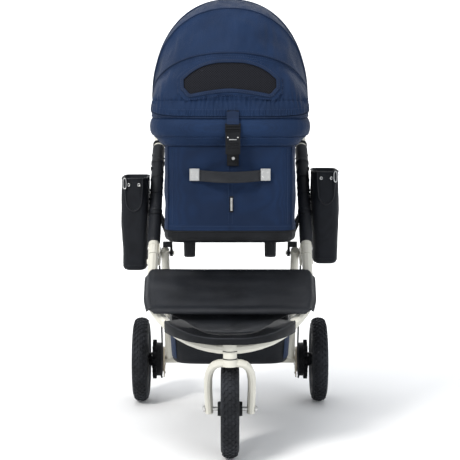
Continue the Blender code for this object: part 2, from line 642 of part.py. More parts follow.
def handle(bar, lever, buttons, looks):
    end = [tuple(beside(KNUCKLE + Vector((0, 0.0155, 0.0155)), 0.1945)), (0.192, 0.440, 0.9735),
           (0.170, BAR_Y, BAR_Z)]
    route = rounded(mirrored(end), 0.030, 3)
    piece = add("handlebar", swept(route, BAR_RADIUS), bar, looks["cream"])
    for side, sign in SIDES:
        disc = turned(beside(KNUCKLE, sign * 0.1969), (sign, 0, 0), [(0, 0.019), (0.0135, 0.019)], 20)
        combine(piece, disc, bar, "UNION", f"tool_disc_{side}")
        lean = Vector((0, 1, 0.93)).normalized()
        neck = turned(beside(KNUCKLE, sign * 0.2025), lean, [(0.004, 0.0050), (0.032, 0.0050)], 8)
        combine(piece, neck, bar, "UNION", f"tool_handle_neck_{side}")

        button = turned(beside(KNUCKLE, sign * 0.1785), (sign, 0, 0),
                        [(0, 0.0070), (0.001, 0.0080), (0.0055, 0.0080)], 16)
        add(f"handle_button_{side}", button, buttons[side], looks["black_plastic"])

    wall = [(-0.135, BAR_RADIUS + 0.0007), (-0.135, GRIP_RADIUS), (0.060, GRIP_RADIUS),
            (0.060, BAR_RADIUS + 0.0007)]
    add("handle_grip", hollow_turned((0, BAR_Y, BAR_Z), (1, 0, 0), wall), bar, looks["black_leather"])

    clamp = [(0.085, BAR_RADIUS + 0.0007), (0.085, 0.0165), (0.108, 0.0165), (0.108, BAR_RADIUS + 0.0007)]
    piece = add("brake_lever_clamp", hollow_turned((0, BAR_Y, BAR_Z), (1, 0, 0), clamp), bar,
                looks["black_plastic"])
    tongue = box((0.090, 0.424, BAR_Z - 0.009), (0.108, BAR_Y - 0.0145, BAR_Z - 0.004))
    combine(piece, tongue, bar, "UNION", "tool_tongue")
    pin = turned(LEVER_PIVOT - Vector((0, 0, 0.006)), (0, 0, 1), [(0, 0.003), (0.0125, 0.003)], 12)
    combine(piece, pin, bar, "UNION", "tool_lever_pin")

    x, y, z = LEVER_PIVOT
    outline = [(x + 0.0075, y - 0.006), (x + 0.0075, y + 0.006), (x - 0.020, y + 0.004),
               (x - 0.095, y + 0.004),
               (x - 0.104, y), (x - 0.095, y - 0.006), (x - 0.020, y - 0.0075)]
    blade = add("brake_lever", skin([[(px, py, z + h) for px, py in outline] for h in (-0.0037, 0.0040)]),
                lever,
                looks["black_plastic"])
    bore = turned(LEVER_PIVOT - Vector((0, 0, 0.010)), (0, 0, 1), [(0, 0.0034), (0.020, 0.0034)], 12)
    combine(blade, bore, lever, "DIFFERENCE", "tool_lever_bore")


# ---------------------------------------------------------------- carrier

def carrier_body(carrier, looks):
    low, high = PAN_Z
    floor = low + 0.006

    def box_ring(grow, z):
        return oval(BOX_HALF_X + grow, BOX_HALF_Y + grow, BOX_POWER, BOX_Y, z)
    loops = [box_ring(-0.010, low), box_ring(-0.002, low + 0.006), box_ring(0.001, low + 0.014),
             box_ring(0.001, high),
             box_ring(-0.006, high), box_ring(-0.008, floor)]
    pan = add("carrier_pan", skin(loops), carrier, looks["black_plastic"])
    for i, (x, y) in enumerate((x, y) for x in (-FOOT_X, FOOT_X) for y in FOOT_YS):
        foot = turned((x, y, FOOT_LOW), (0, 0, 1), [(0, 0.0130), (0.003, 0.0145), (0.0435, 0.0155)], 12)
        combine(pan, foot, carrier, "UNION", f"tool_foot_{i}")

    low, high = BOX_Z
    loops = [box_ring(0, low), box_ring(0, high), box_ring(-WALL, high), box_ring(-WALL, low)]
    add("carrier_box", skin(loops, ring=True), carrier, looks["navy_fabric"])
    loops = [oval(0.148, 0.220, 7, BOX_Y, z) for z in (floor + GAP, floor + 0.030)]
    loops += [oval(0.140, 0.212, 6, BOX_Y, floor + 0.036)]
    add("bed_cushion", skin(loops), carrier, looks["navy_fabric"])


def collar(carrier, look):
    """The padded ring on the box, its skirt up to the hood's hem, and the hood's pivots."""
    y = HOOD_AXIS_Y

    def skirt(distance):
        return HOOD_AXIS_Z - tan(radians(HEM_ANGLE - 90)) * abs(distance) - 0.0012
    low = BOX_Z[1] + GAP
    loops = [oval(BOX_HALF_X + 0.001, BOX_HALF_Y + 0.001, BOX_POWER, BOX_Y, low),
             oval(0.186, 0.250, 6, -0.048, 0.771), oval(0.1985, 0.2565, COLLAR_POWER, y, 0.782),
             oval(0.2000, 0.2575, COLLAR_POWER, y, 0.800), oval(0.1990, 0.2565, COLLAR_POWER, y, 0.819),
             oval(0.1990, 0.2560, COLLAR_POWER, y, skirt), oval(0.1965, 0.2535, COLLAR_POWER, y, skirt),
             oval(0.1955, 0.2525, COLLAR_POWER, y, 0.8240), oval(0.1760, 0.2350, COLLAR_POWER, y, 0.8240),
             oval(0.1720, 0.2340, 6, y, 0.782), oval(BOX_HALF_X - WALL, BOX_HALF_Y - WALL, BOX_POWER, BOX_Y,
                                                     low)]
    piece = add("carrier_collar", skin(loops, ring=True), carrier, look)
    for side, sign in SIDES:
        ear = box((min(sign * 0.180, sign * 0.1845), y - 0.018, 0.815),
                  (max(sign * 0.180, sign * 0.1845), y + 0.018, 0.879))
        combine(piece, ear, carrier, "UNION", f"tool_ear_{side}")
        pin = turned(beside(HOOD_AXIS, sign * 0.182), (sign, 0, 0), [(0, PIN_RADIUS), (0.0142, PIN_RADIUS)],
                     8)
        combine(piece, pin, carrier, "UNION", f"tool_hood_pin_{side}")


def carry_handle(carrier, looks):
    """A leather strap bowed clear of the front wall, held by a metal plate at each end."""
    front = BOX_Y - BOX_HALF_Y
    ends, thick, low, high = 0.097, 0.0045, 0.669, 0.697
    route = [(-ends, front - 0.003), (-0.074, front - 0.003), (-0.062, front - 0.012),
             (-0.040, front - 0.026),
             (0, front - 0.031), (0.040, front - 0.026), (0.062, front - 0.012), (0.074, front - 0.003),
             (ends, front - 0.003)]
    loops = [[(x, y + thick / 2, low), (x, y + thick / 2, high), (x, y - thick / 2, high),
              (x, y - thick / 2, low)]
             for x, y in route]
    add("carry_strap", skin(loops), carrier, looks["black_leather"])
    for side, sign in SIDES:
        plate = box((min(sign * 0.0745, sign * 0.099), front - 0.0085, low + 0.001),
                    (max(sign * 0.0745, sign * 0.099), front - 0.0057, high + 0.003))
        bevel(add(f"strap_plate_{side}", plate, carrier, looks["steel"]), 0.0010)


def buckle(carrier, hood_front, looks):
    """The front buckle: the webbing half hangs from the hood, the tab half is sewn to the box."""
    front = HOOD_AXIS_Y - 0.2575
    x = BUCKLE_X
    webbing = box((x - 0.0145, front - 0.0052, 0.800), (x + 0.0145, front - 0.0024, 0.842))
    piece = add("upper_buckle", webbing, hood_front, looks["black_plastic"])
    ladder = box((x - 0.0190, front - 0.0085, 0.788), (x + 0.0190, front - 0.0018, 0.811))
    combine(piece, ladder, hood_front, "UNION", "tool_ladder_lock")
    body = box((x - 0.0180, front - 0.0120, 0.7365), (x + 0.0180, front - 0.0016, 0.7900))
    combine(piece, body, hood_front, "UNION", "tool_buckle_body")
    box_front = BOX_Y - BOX_HALF_Y
    tab = box((x - 0.0145, box_front - 0.0045, 0.706), (x + 0.0145, box_front - GAP, 0.7440))
    bevel(add("lower_buckle", tab, carrier, looks["black_plastic"]), 0.0012)


# ---------------------------------------------------------------- hood

def bow(name, kind, body, look):
    """A flat spring bow over the hood with a round eye at each end."""
    size, angle = BOW_SIZES[kind], radians(BOW_ANGLES[kind])
    across = Vector((0, -cos(angle), -sin(angle)))
    turns = [radians(t) for t in range(0, 181, SEAM_STEP)]
    places = [hood_point(size, t, angle) for t in turns]
    loops = []
    for i, place in enumerate(places):
        ahead = places[min(i + 1, len(places) - 1)] - places[max(i - 1, 0)]
        if i in (0, len(places) - 1):
            ahead = Vector((0, -sin(angle), cos(angle))) * (1 if i == 0 else -1)
        out = ahead.cross(across).normalized() * 0.0015
        wide = across * 0.0050
        loops.append([place + out + wide, place + out - wide, place - out - wide, place - out + wide])
    piece = add(name, skin(loops), body, look)
    for side, sign in SIDES:
        eye = turned(beside(HOOD_AXIS, sign * (size[0] - 0.0014)), (sign, 0, 0),
                     [(0, 0.0095), (0.0028, 0.0095)], 10)
        combine(piece, eye, body, "UNION", f"tool_{name}_eye_{side}")
        bore = turned(beside(HOOD_AXIS, sign * (size[0] - 0.006)), (sign, 0, 0),
                      [(0, PIN_BORE), (0.012, PIN_BORE)], 8)
        combine(piece, bore, body, "DIFFERENCE", f"tool_{name}_bore_{side}")


def panel_skin(low_angle, high_angle, steps, out_size=HOOD_OUT, in_size=HOOD_IN):
    turns = [radians(t) for t in range(SEAM_STEP, 180 - SEAM_STEP + 1, SEAM_STEP)]
    angles = [radians(low_angle + (high_angle - low_angle) * i / steps) for i in range(steps + 1)]
    return sheet(*[[[hood_point(size, t, a) for t in turns] for a in angles] for size in (out_size, in_size)])


def window_tool(shrink):
    """A kidney-shaped cutter through the front panel, drawn across x and round the hood's axis."""
    half = 0.116 - shrink
    slack = degrees(shrink / HOOD_OUT[1])

    def at(x, angle, scale):
        angle = radians(angle)
        reach = hood_reach(HOOD_OUT, x, angle) * scale
        return HOOD_AXIS + Vector((x, -reach * sin(angle), reach * cos(angle)))
    loops = []
    for s in (-1, -0.96, -0.85, -0.6, -0.3, 0, 0.3, 0.6, 0.85, 0.96, 1):
        x = half * s
        top = 68.0 + slack + 9.5 * abs(s) ** 3
        low = 84.0 - slack + 4.0 * min(abs(s), 0.85) ** 1.5 - 4.5 * max(0, abs(s) - 0.85) / 0.15
        loops.append([at(x, top, 0.93), at(x, top, 1.05), at(x, low, 1.05), at(x, low, 0.93)])
    return skin(loops)


def hood(carrier, mid, front, looks):
    bow("hood_bow_top", "top", carrier, looks["black_plastic"])
    bow("hood_bow_mid", "mid", mid, looks["black_plastic"])
    bow("hood_bow_front", "front", front, looks["black_plastic"])
    top, middle, fore = (BOW_ANGLES[kind] for kind in ("top", "mid", "front"))
    add("hood_shell_rear", panel_skin(-HEM_ANGLE, top - PANEL_GAP, 8), carrier, looks["navy_fabric"])
    add("hood_panel_top", panel_skin(top + PANEL_GAP, middle - PANEL_GAP, 3), mid, looks["navy_fabric"])
    add("hood_panel_mid", panel_skin(middle + PANEL_GAP, fore - PANEL_GAP, 3), front, looks["navy_fabric"])
    piece = add("hood_panel_front", panel_skin(fore + PANEL_GAP, HEM_ANGLE, 4), front, looks["navy_fabric"])
    combine(piece, window_tool(0), front, "DIFFERENCE", "tool_window")
    thin_out = (HOOD_OUT[0] - 0.0008, HOOD_OUT[1] - 0.0008)
    thin_in = (HOOD_IN[0] + 0.0008, HOOD_IN[1] + 0.0008)
    mesh = add("window_mesh", panel_skin(fore + 1, HEM_ANGLE - 1, 4, thin_out, thin_in), front, looks["mesh"])
    combine(mesh, window_tool(0.0006), front, "INTERSECT", "tool_window_keep")


# ---------------------------------------------------------------- assembly

def main():
    clear_scene()
    looks = {
        "cream": material("cream_paint", (0.72, 0.71, 0.63), 0.35, 0.1),
        "steel": material("brushed_steel", (0.60, 0.60, 0.60), 0.30, 1.0),
        "bronze": material("bronze_paint", (0.46, 0.40, 0.30), 0.40, 0.5),
        "black_plastic": material("black_plastic", (0.020, 0.021, 0.023), 0.50),
        "black_leather": material("black_leatherette", (0.024, 0.025, 0.028), 0.55),
        "black_fabric": material("black_fabric", (0.016, 0.018, 0.021), 0.85),
        "navy_fabric": material("navy_fabric", (0.014, 0.026, 0.068), 0.75),
        "mesh": material("window_mesh", (0.020, 0.021, 0.026), 0.80),
        "tyre": material("tyre_rubber", (0.022, 0.023, 0.026), 0.85),
    }
    frame = Body("frame")
    front = Body("front_frame", FRONT_PIVOT, frame)
    rear = Body("rear_frame", REAR_PIVOT, frame)
    latches = {side: Body(f"fold_latch_{side}", LATCH_PIVOT, frame) for side, _ in SIDES}
    pedal = Body("parking_pedal", REAR_AXLE, rear)
    swivel = Body("fork", (0, SWIVEL_Y, 0.245), front)
    front_wheel = Body("front_wheel", FRONT_AXLE, swivel)
    bar = Body("handle", KNUCKLE, frame)
    lever = Body("brake_lever", LEVER_PIVOT, bar)
    buttons = {side: Body(f"handle_button_{side}", beside(KNUCKLE, sign * 0.18), frame)
               for side, sign in SIDES}
    carrier = Body("carrier", (0, BOX_Y, PAN_Z[0]), frame)
    hood_mid = Body("hood_mid", HOOD_AXIS, carrier)
    hood_front = Body("hood_front", HOOD_AXIS, hood_mid)

    main_frame(frame, looks)
    side_bags(frame, looks)
    front_frame(front, looks)
    fold_latches(latches, looks)
    rear_frame(rear, pedal, looks)
    fork(swivel, looks)
    wheel("front", FRONT_AXLE, 0.030, front_wheel, looks)
    for side, sign in SIDES:
        rear_wheel(side, sign, Body(f"rear_wheel_{side}", beside(REAR_AXLE, sign * REAR_TRACK_HALF), rear),
                   looks)
    handle(bar, lever, buttons, looks)
    carrier_body(carrier, looks)
    collar(carrier, looks["navy_fabric"])
    carry_handle(carrier, looks)
    buckle(carrier, hood_front, looks)
    hood(carrier, hood_mid, hood_front, looks)


main()
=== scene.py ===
"""Looks of the pet stroller: fabric hood and carrier, leatherette trim, painted tubes and air tyres.

Everything is in metres, in the frame's own axes: -Y is the front, +X the right seen from the front.
"""
import json
from math import asin, atan, cos, degrees, pi, radians, sin, tan

import bmesh
import bpy
from mathutils import Matrix, Vector, noise

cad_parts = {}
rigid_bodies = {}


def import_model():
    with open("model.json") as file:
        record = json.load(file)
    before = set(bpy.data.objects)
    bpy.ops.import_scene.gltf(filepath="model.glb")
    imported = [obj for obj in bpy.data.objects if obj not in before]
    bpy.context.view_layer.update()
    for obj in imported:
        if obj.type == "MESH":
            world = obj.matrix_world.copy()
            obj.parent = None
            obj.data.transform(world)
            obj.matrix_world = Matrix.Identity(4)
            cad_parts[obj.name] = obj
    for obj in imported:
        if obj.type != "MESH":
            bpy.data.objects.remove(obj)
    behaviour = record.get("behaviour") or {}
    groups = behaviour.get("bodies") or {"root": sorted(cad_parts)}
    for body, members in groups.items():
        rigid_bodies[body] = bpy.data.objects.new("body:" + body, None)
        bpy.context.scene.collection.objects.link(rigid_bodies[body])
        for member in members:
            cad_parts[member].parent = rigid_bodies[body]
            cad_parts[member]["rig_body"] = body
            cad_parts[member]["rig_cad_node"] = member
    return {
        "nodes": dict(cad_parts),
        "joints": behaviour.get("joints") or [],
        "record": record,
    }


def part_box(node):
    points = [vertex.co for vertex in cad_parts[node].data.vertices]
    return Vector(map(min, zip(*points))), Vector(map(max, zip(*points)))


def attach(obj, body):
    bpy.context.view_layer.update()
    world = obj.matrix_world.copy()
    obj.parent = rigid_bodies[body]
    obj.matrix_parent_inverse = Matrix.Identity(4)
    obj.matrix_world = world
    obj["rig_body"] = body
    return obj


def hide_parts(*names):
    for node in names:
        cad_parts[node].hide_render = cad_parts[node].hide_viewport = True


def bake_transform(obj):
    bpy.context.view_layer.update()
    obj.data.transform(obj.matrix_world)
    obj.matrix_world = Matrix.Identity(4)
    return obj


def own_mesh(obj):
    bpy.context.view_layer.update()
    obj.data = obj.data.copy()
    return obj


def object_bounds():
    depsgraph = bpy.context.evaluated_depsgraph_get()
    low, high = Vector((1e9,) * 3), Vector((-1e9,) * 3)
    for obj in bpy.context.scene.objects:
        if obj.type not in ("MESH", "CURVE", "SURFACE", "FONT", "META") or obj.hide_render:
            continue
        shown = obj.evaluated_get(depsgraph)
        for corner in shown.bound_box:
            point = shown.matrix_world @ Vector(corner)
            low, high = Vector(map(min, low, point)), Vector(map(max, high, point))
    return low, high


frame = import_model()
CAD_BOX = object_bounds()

SIDES = (("left", -1), ("right", 1))


def pivot_of(joint):
    """The place of a joint of the frame."""
    return Vector(next(entry["pos_m"] for entry in frame["joints"] if entry["name"] == joint))


# ---------------------------------------------------------------- places taken from the frame

KNUCKLE = pivot_of("handle_tilt")
HOOD_AXIS = pivot_of("hood_fold")
FRONT_AXLE = pivot_of("front_wheel_spin")
REAR_AXLE = pivot_of("parking_pedal_press")
SWIVEL = pivot_of("swivel")

# The main tubes run from their lower end up to the handle's knuckles.
TUBE_END = Vector((0, -0.085, 0.461))
TUBE_DIRECTION = (KNUCKLE - TUBE_END).normalized()
TUBE_UNDER = Vector((0, TUBE_DIRECTION.z, -TUBE_DIRECTION.y))
TUBE_LENGTH = (KNUCKLE - TUBE_END).length
TUBE_X, TUBE_X_TOP = 0.200, 0.197
BOX_LOW, BOX_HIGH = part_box("carrier_box")
BOX_FRONT = BOX_LOW[1]


def on_tube(along, under=0.0, x=0.0):
    """A place beside a main tube: along it from its lower end, and out from its underside."""
    place = TUBE_END + TUBE_DIRECTION * along + TUBE_UNDER * under
    return Vector((x, place.y, place.z))


def tube_x(along):
    """How far a main tube stands from the middle, as the pair closes in a little upwards."""
    return TUBE_X + (TUBE_X_TOP - TUBE_X) * along / TUBE_LENGTH


# ---------------------------------------------------------------- materials

class Look:
    """A Principled material built from nodes, in object coordinates."""

    def __init__(self, name, color, roughness, metallic=0.0, **sockets):
        self.made = bpy.data.materials.new(name)
        self.made.use_nodes = True
        self.nodes = self.made.node_tree.nodes
        self.links = self.made.node_tree.links
        self.shader = self.nodes["Principled BSDF"]
        self.color = color
        sockets.update(Base_Color=(*color, 1), Roughness=roughness, Metallic=metallic)
        for socket, value in sockets.items():
            self.shader.inputs[socket.replace("_", " ")].default_value = value
        self.place = self.nodes.new("ShaderNodeTexCoord").outputs["Object"]
        self.height = None

    def node(self, kind, **values):
        """A new node; each value goes to the input of that name, or else to the property."""
        made = self.nodes.new(kind)
        for key, value in values.items():
            if key in made.inputs:
                made.inputs[key].default_value = value
            else:
                setattr(made, key, value)
        return made

    def mapped(self, **values):
        """Object coordinates, scaled or turned."""
        mapping = self.node("ShaderNodeMapping", **values)
        self.links.new(self.place, mapping.inputs["Vector"])
        return mapping.outputs["Vector"]

    def noise(self, scale, detail=3.0, stretch=(1, 1, 1)):
        """Clouds; stretch draws them out along an axis when it is below one."""
        texture = self.node("ShaderNodeTexNoise", Scale=scale, Detail=detail)
        self.links.new(self.mapped(Scale=stretch), texture.inputs["Vector"])
        return texture.outputs["Fac"]

    def waves(self, scale, direction, place=None):
        """Bands across X, Y or Z."""
        texture = self.node("ShaderNodeTexWave", Scale=scale, bands_direction=direction)
        self.links.new(place or self.place, texture.inputs["Vector"])
        return texture.outputs["Fac"]

    def cells(self, scale):
        """Rounded cells, as in leather's grain."""
        texture = self.node("ShaderNodeTexVoronoi", Scale=scale)
        self.links.new(self.place, texture.inputs["Vector"])
        return texture.outputs["Distance"]

    def math(self, operation, first, second):
        """A Math node on two numbers, each a value or another node's output."""
        made = self.node("ShaderNodeMath", operation=operation)
        for socket, value in zip(made.inputs, (first, second)):
            if isinstance(value, (int, float)):
                socket.default_value = value
            else:
                self.links.new(value, socket)
        return made.outputs[0]

    def vary(self, factor, dark, light, low=0.35, high=0.65):
        """Colour that runs between two strengths of the base colour."""
        ramp = self.node("ShaderNodeValToRGB")
        for element, place, strength in zip(ramp.color_ramp.elements, (low, high), (dark, light)):
            element.position = place
            element.color = (*[min(c * strength, 1) for c in self.color], 1)
        self.links.new(factor, ramp.inputs["Fac"])
        self.links.new(ramp.outputs["Color"], self.shader.inputs["Base Color"])

    def rough(self, factor, low, high):
        """Roughness that runs between two values."""
        values = self.node("ShaderNodeMapRange", **{"To Min": low, "To Max": high})
        self.links.new(factor, values.inputs["Value"])
        self.links.new(values.outputs["Result"], self.shader.inputs["Roughness"])

    def bump(self, height, distance, strength=1.0):
        """Adds a layer of relief; distance is in metres."""
        made = self.node("ShaderNodeBump", Strength=strength, Distance=distance)
        self.links.new(height, made.inputs["Height"])
        if self.height:
            self.links.new(self.height, made.inputs["Normal"])
        self.height = made.outputs["Normal"]
        self.links.new(self.height, self.shader.inputs["Normal"])
        return self


BANDS_PER_UNIT = 6.3    # bands of a Wave texture in a metre, at a scale of one


def woven(name, color, roughness, thread, sheen=0.036, relief=0.0005):
    """A woven cloth: crossing threads a given width apart, faint slubs and soft sheen."""
    look = Look(name, color, roughness, Sheen_Weight=sheen, Sheen_Roughness=0.35, Specular_IOR_Level=0.16)
    warp, weft, depth = [look.waves(1 / thread / BANDS_PER_UNIT, direction) for direction in "XZY"]
    weave = look.math("ADD", look.math("MULTIPLY", warp, weft), look.math("MULTIPLY", depth, 0.5))
    slubs = look.math("MULTIPLY", look.noise(9), 0.75)
    look.vary(look.math("ADD", look.math("MULTIPLY", weave, 0.25), slubs), 0.78, 1.25)
    look.rough(look.noise(30), roughness - 0.08, roughness + 0.08)
    look.bump(look.noise(26, 4), 0.0022, 0.35)
    return look.bump(weave, relief, 0.8)


def leatherette(name, color, roughness):
    """A pebbled coated cloth, slightly worn where it is rubbed."""
    look = Look(name, color, roughness, Specular_IOR_Level=0.22)
    look.vary(look.noise(14), 0.8, 1.3)
    look.rough(look.noise(40), roughness - 0.10, roughness + 0.10)
    look.bump(look.noise(30, 3), 0.0015, 0.3)
    return look.bump(look.cells(900), 0.0004, 0.7)


def painted(name, color):
    """Powder coat on tube: a fine orange peel, a little dust."""
    look = Look(name, color, 0.34, Coat_Weight=0.15, Coat_Roughness=0.25, Specular_IOR_Level=0.35)
    look.vary(look.noise(7, 4), 0.93, 1.04)
    look.rough(look.noise(60), 0.28, 0.42)
    return look.bump(look.noise(700, 2), 0.00012, 0.5)


def moulded(name, color, roughness, grain=1400):
    """Moulded plastic with a spark-eroded grain and rubbed patches."""
    look = Look(name, color, roughness, Specular_IOR_Level=0.15)
    look.vary(look.noise(22, 4), 0.8, 1.35)
    look.rough(look.noise(35, 4), roughness - 0.1, roughness + 0.1)
    return look.bump(look.noise(grain, 2), 0.00015, 0.6)


def brushed(name, color):
    """Metal with fine brushed lines."""
    look = Look(name, color, 0.32, 1.0)
    lines = look.noise(250, 2, stretch=(1, 1, 14))
    look.vary(lines, 0.85, 1.08)
    look.rough(lines, 0.24, 0.42)
    return look.bump(lines, 0.00005, 0.5)


def rubber(name, color):
    """Dusty tyre rubber."""
    look = Look(name, color, 0.78, Specular_IOR_Level=0.22)
    look.vary(look.noise(18, 5), 0.7, 1.6)
    look.rough(look.noise(45), 0.66, 0.9)
    return look.bump(look.noise(320, 3), 0.0003, 0.5)


def netting(name, color):
    """Open mesh: holes on a slanted grid, painted darker than its threads as painted shade seen through them.
    """
    look = Look(name, color, 0.85, Specular_IOR_Level=0.1)
    slanted = look.mapped(Rotation=(0, radians(45), 0))
    grid = look.math("MAXIMUM", look.waves(75, "X", slanted), look.waves(75, "Z", slanted))
    # The dark holes in this colour are painted shade, of the hood's inside seen through them; the grid also
    # gives the relief.
    look.vary(grid, 0.25, 1.5, 0.45, 0.85)
    return look.bump(grid, 0.0006, 0.9)


# Each look with the material slot it belongs to. The first look of a slot also dresses the CAD parts.
PALETTE = {
    "cream": ("cream_paint", painted("cream_paint", (0.660, 0.645, 0.570))),
    "bronze": ("bronze_paint", painted("bronze_paint", (0.42, 0.36, 0.27))),
    "steel": ("steel", brushed("brushed_steel", (0.62, 0.62, 0.61))),
    "plastic": ("black_plastic", moulded("black_plastic", (0.0065, 0.0072, 0.0088), 0.50)),
    "cable": ("cable_black", moulded("cable_jacket", (0.014, 0.014, 0.016), 0.40, 400)),
    "leather": ("black_leatherette", leatherette("black_leatherette", (0.0135, 0.0150, 0.0185), 0.46)),
    "cloth": ("black_fabric", woven("black_fabric", (0.0100, 0.0115, 0.0150), 0.66, 0.0009)),
    "navy": ("navy_fabric", woven("navy_fabric", (0.0058, 0.0190, 0.0560), 0.66, 0.0007, 0.042, 0.0003)),
    "navy_box": ("navy_fabric", woven("navy_canvas", (0.0042, 0.0150, 0.0460), 0.68, 0.0011, 0.030)),
    "navy_trim": ("navy_fabric", woven("navy_binding", (0.0065, 0.0165, 0.0450), 0.62, 0.0012, 0.030)),
    "thread": ("navy_fabric", woven("navy_thread", (0.030, 0.050, 0.105), 0.7, 0.0005, relief=0.0002)),
    "thread_dark": ("black_leatherette",
                    woven("black_thread", (0.035, 0.037, 0.042), 0.7, 0.0005, relief=0.0002)),
    "net": ("window_mesh", netting("window_mesh", (0.0095, 0.0100, 0.0130))),
    "tyre": ("tyre_rubber", rubber("tyre_rubber", (0.0165, 0.0180, 0.0215))),
    "white": ("black_fabric", moulded("label_white", (0.62, 0.62, 0.60), 0.6)),
}


# ---------------------------------------------------------------- making pieces

class Piece:
    """One mesh, gathered from simple shapes, that rides on a body of the frame."""

    STITCH_RADIUS, STITCH_LIFT = 0.00042, 0.0002
    MERGE = 1e-5    # points this close become one

    def __init__(self, name):
        self.name = name
        self.points, self.faces = [], []

    def add(self, points, faces):
        """Adds faces whose indices count from these points."""
        first = len(self.points)
        self.points += [Vector(p) for p in points]
        self.faces += [[first + i for i in face] for face in faces]
        return self

    def grid(self, rows, around=False):
        """A surface through rows of points; around joins the last column to the first."""
        wide = len(rows[0])
        faces = []
        for row in range(0, (len(rows) - 1) * wide, wide):
            for column in range(wide if around else wide - 1):
                beside = (column + 1) % wide
                faces.append((row + column, row + beside, row + wide + beside, row + wide + column))
        return self.add([p for row in rows for p in row], faces)

    def cap(self, sides, rows):
        """Closes both ends of the grid of rows, of so many sides, that was added last."""
        first = len(self.points) - rows * sides
        self.faces.append([first + k for k in range(sides)][::-1])
        self.faces.append([first + (rows - 1) * sides + k for k in range(sides)])

    def tube(self, route, radius, sides=10, closed=False, flat=1.0, up=None):
        """A round rod along a route; flat squeezes it along its own normal, which up may give."""
        route = [Vector(p) for p in route]
        count = len(route)
        rows, side = [], None
        for i, place in enumerate(route):
            before = route[i - 1] if closed or i else place
            after = route[(i + 1) % count] if closed or i < count - 1 else place
            along = (after - before).normalized()
            if up:
                side = along.cross(up[i]).normalized()
            elif side is None:
                side = along.orthogonal().normalized()
            else:
                side = (side - along * side.dot(along)).normalized()
            normal = side.cross(along) * flat
            turns = [2 * pi * k / sides for k in range(sides)]
            rows.append([place + (side * cos(turn) + normal * sin(turn)) * radius for turn in turns])
        if closed:
            return self.grid(rows + rows[:1], around=True)
        self.grid(rows, around=True)
        self.cap(sides, count)
        return self

    def turned(self, centre, axis, profile, sides=32, whole=True):
        """A lathe shape: profile holds (along the axis, radius) pairs; whole closes its ends."""
        axis = Vector(axis).normalized()
        first = axis.orthogonal().normalized()
        second = axis.cross(first)
        ring = [first * cos(2 * pi * k / sides) + second * sin(2 * pi * k / sides) for k in range(sides)]
        self.grid([[Vector(centre) + axis * a + out * r for out in ring] for a, r in profile], around=True)
        if whole:
            self.cap(sides, len(profile))
        return self

    def box(self, centre, half, turn=Matrix.Identity(3)):
        """A plain block; turn is a rotation matrix."""
        corners = [
            Vector(centre) + turn @ Vector((x * half[0], y * half[1], z * half[2]))
            for x in (-1, 1) for y in (-1, 1) for z in (-1, 1)
        ]
        sides = [(0, 1, 3, 2), (4, 6, 7, 5), (0, 4, 5, 1), (2, 3, 7, 6), (0, 2, 6, 4), (1, 5, 7, 3)]
        return self.add(corners, sides)

    def stitches(self, route, normals, length, gap):
        """A line of single threads on a surface; normals has one for each point, or is one for all."""
        route = [Vector(p) for p in route]
        spans = [(b - a).length for a, b in zip(route, route[1:])]
        place, index, passed = gap / 2, 0, 0.0
        while place + length < sum(spans) and index < len(spans):
            while index < len(spans) - 1 and passed + spans[index] < place:
                passed += spans[index]
                index += 1
            start = route[index].lerp(route[index + 1], (place - passed) / max(spans[index], 1e-9))
            along = (route[index + 1] - route[index]).normalized()
            normal = Vector(normals[index] if isinstance(normals, list) else normals).normalized()
            side, up = along.cross(normal).normalized() * self.STITCH_RADIUS, normal * self.STITCH_RADIUS
            rows = []
            for share, size in ((0.0, 0.25), (0.2, 1.0), (0.8, 1.0), (1.0, 0.25)):
                middle = start + along * length * share + normal * self.STITCH_LIFT + up * 0.6 * (size - 0.6)
                rows.append([middle + way * size for way in (side, up, -side, -up)])
            self.grid(rows, around=True)
            place += length + gap
        return self

    def sew(self, spots, lift, length=0.0034, gap=0.0024):
        """Stitches through spots, each a (place, normal) pair, lifted off them."""
        return self.stitches([p + n * lift for p, n in spots], [n for _, n in spots], length, gap)

    def make(self, look, body=None, smooth=40, bevel=None, thick=None, slot=None, replaces=()):
        """Builds the mesh. A piece with no body is left unattached here; smooth is in degrees."""
        mesh = bpy.data.meshes.new(self.name)
        mesh.from_pydata(self.points, [], self.faces)
        shape = bmesh.new()
        shape.from_mesh(mesh)
        bmesh.ops.remove_doubles(shape, verts=shape.verts, dist=self.MERGE)
        bmesh.ops.recalc_face_normals(shape, faces=shape.faces)
        shape.to_mesh(mesh)
        shape.free()
        made = bpy.data.objects.new(self.name, mesh)
        bpy.context.scene.collection.objects.link(made)
        own_slot, finish = PALETTE[look]
        mesh.materials.append(finish.made)
        if thick:
            solid = made.modifiers.new("thickness", "SOLIDIFY")
            solid.thickness, solid.offset = thick, -1
        if bevel:
            rounding = made.modifiers.new("rounding", "BEVEL")
            rounding.width, rounding.segments, rounding.limit_method = bevel, 3, "ANGLE"
            rounding.angle_limit = radians(35)
        apply_modifiers(made)
        shade(made, smooth)
        if replaces:
            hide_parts(*replaces)
        if body:
            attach(made, body)
        return made


def apply_modifiers(made):
    """Puts the result of a piece's modifiers in its mesh."""
    if made.modifiers:
        graph = bpy.context.evaluated_depsgraph_get()
        mesh = bpy.data.meshes.new_from_object(made.evaluated_get(graph))
        made.modifiers.clear()
        made.data = mesh


def shade(made, angle):
    """Smooth faces, with sharp edges over an angle in degrees."""
    mesh = made.data
    mesh.polygons.foreach_set("use_smooth", [True] * len(mesh.polygons))
    shape = bmesh.new()
    shape.from_mesh(mesh)
    for edge in shape.edges:
        edge.smooth = len(edge.link_faces) < 2 or edge.calc_face_angle(0) < radians(angle)
    shape.to_mesh(mesh)
    shape.free()


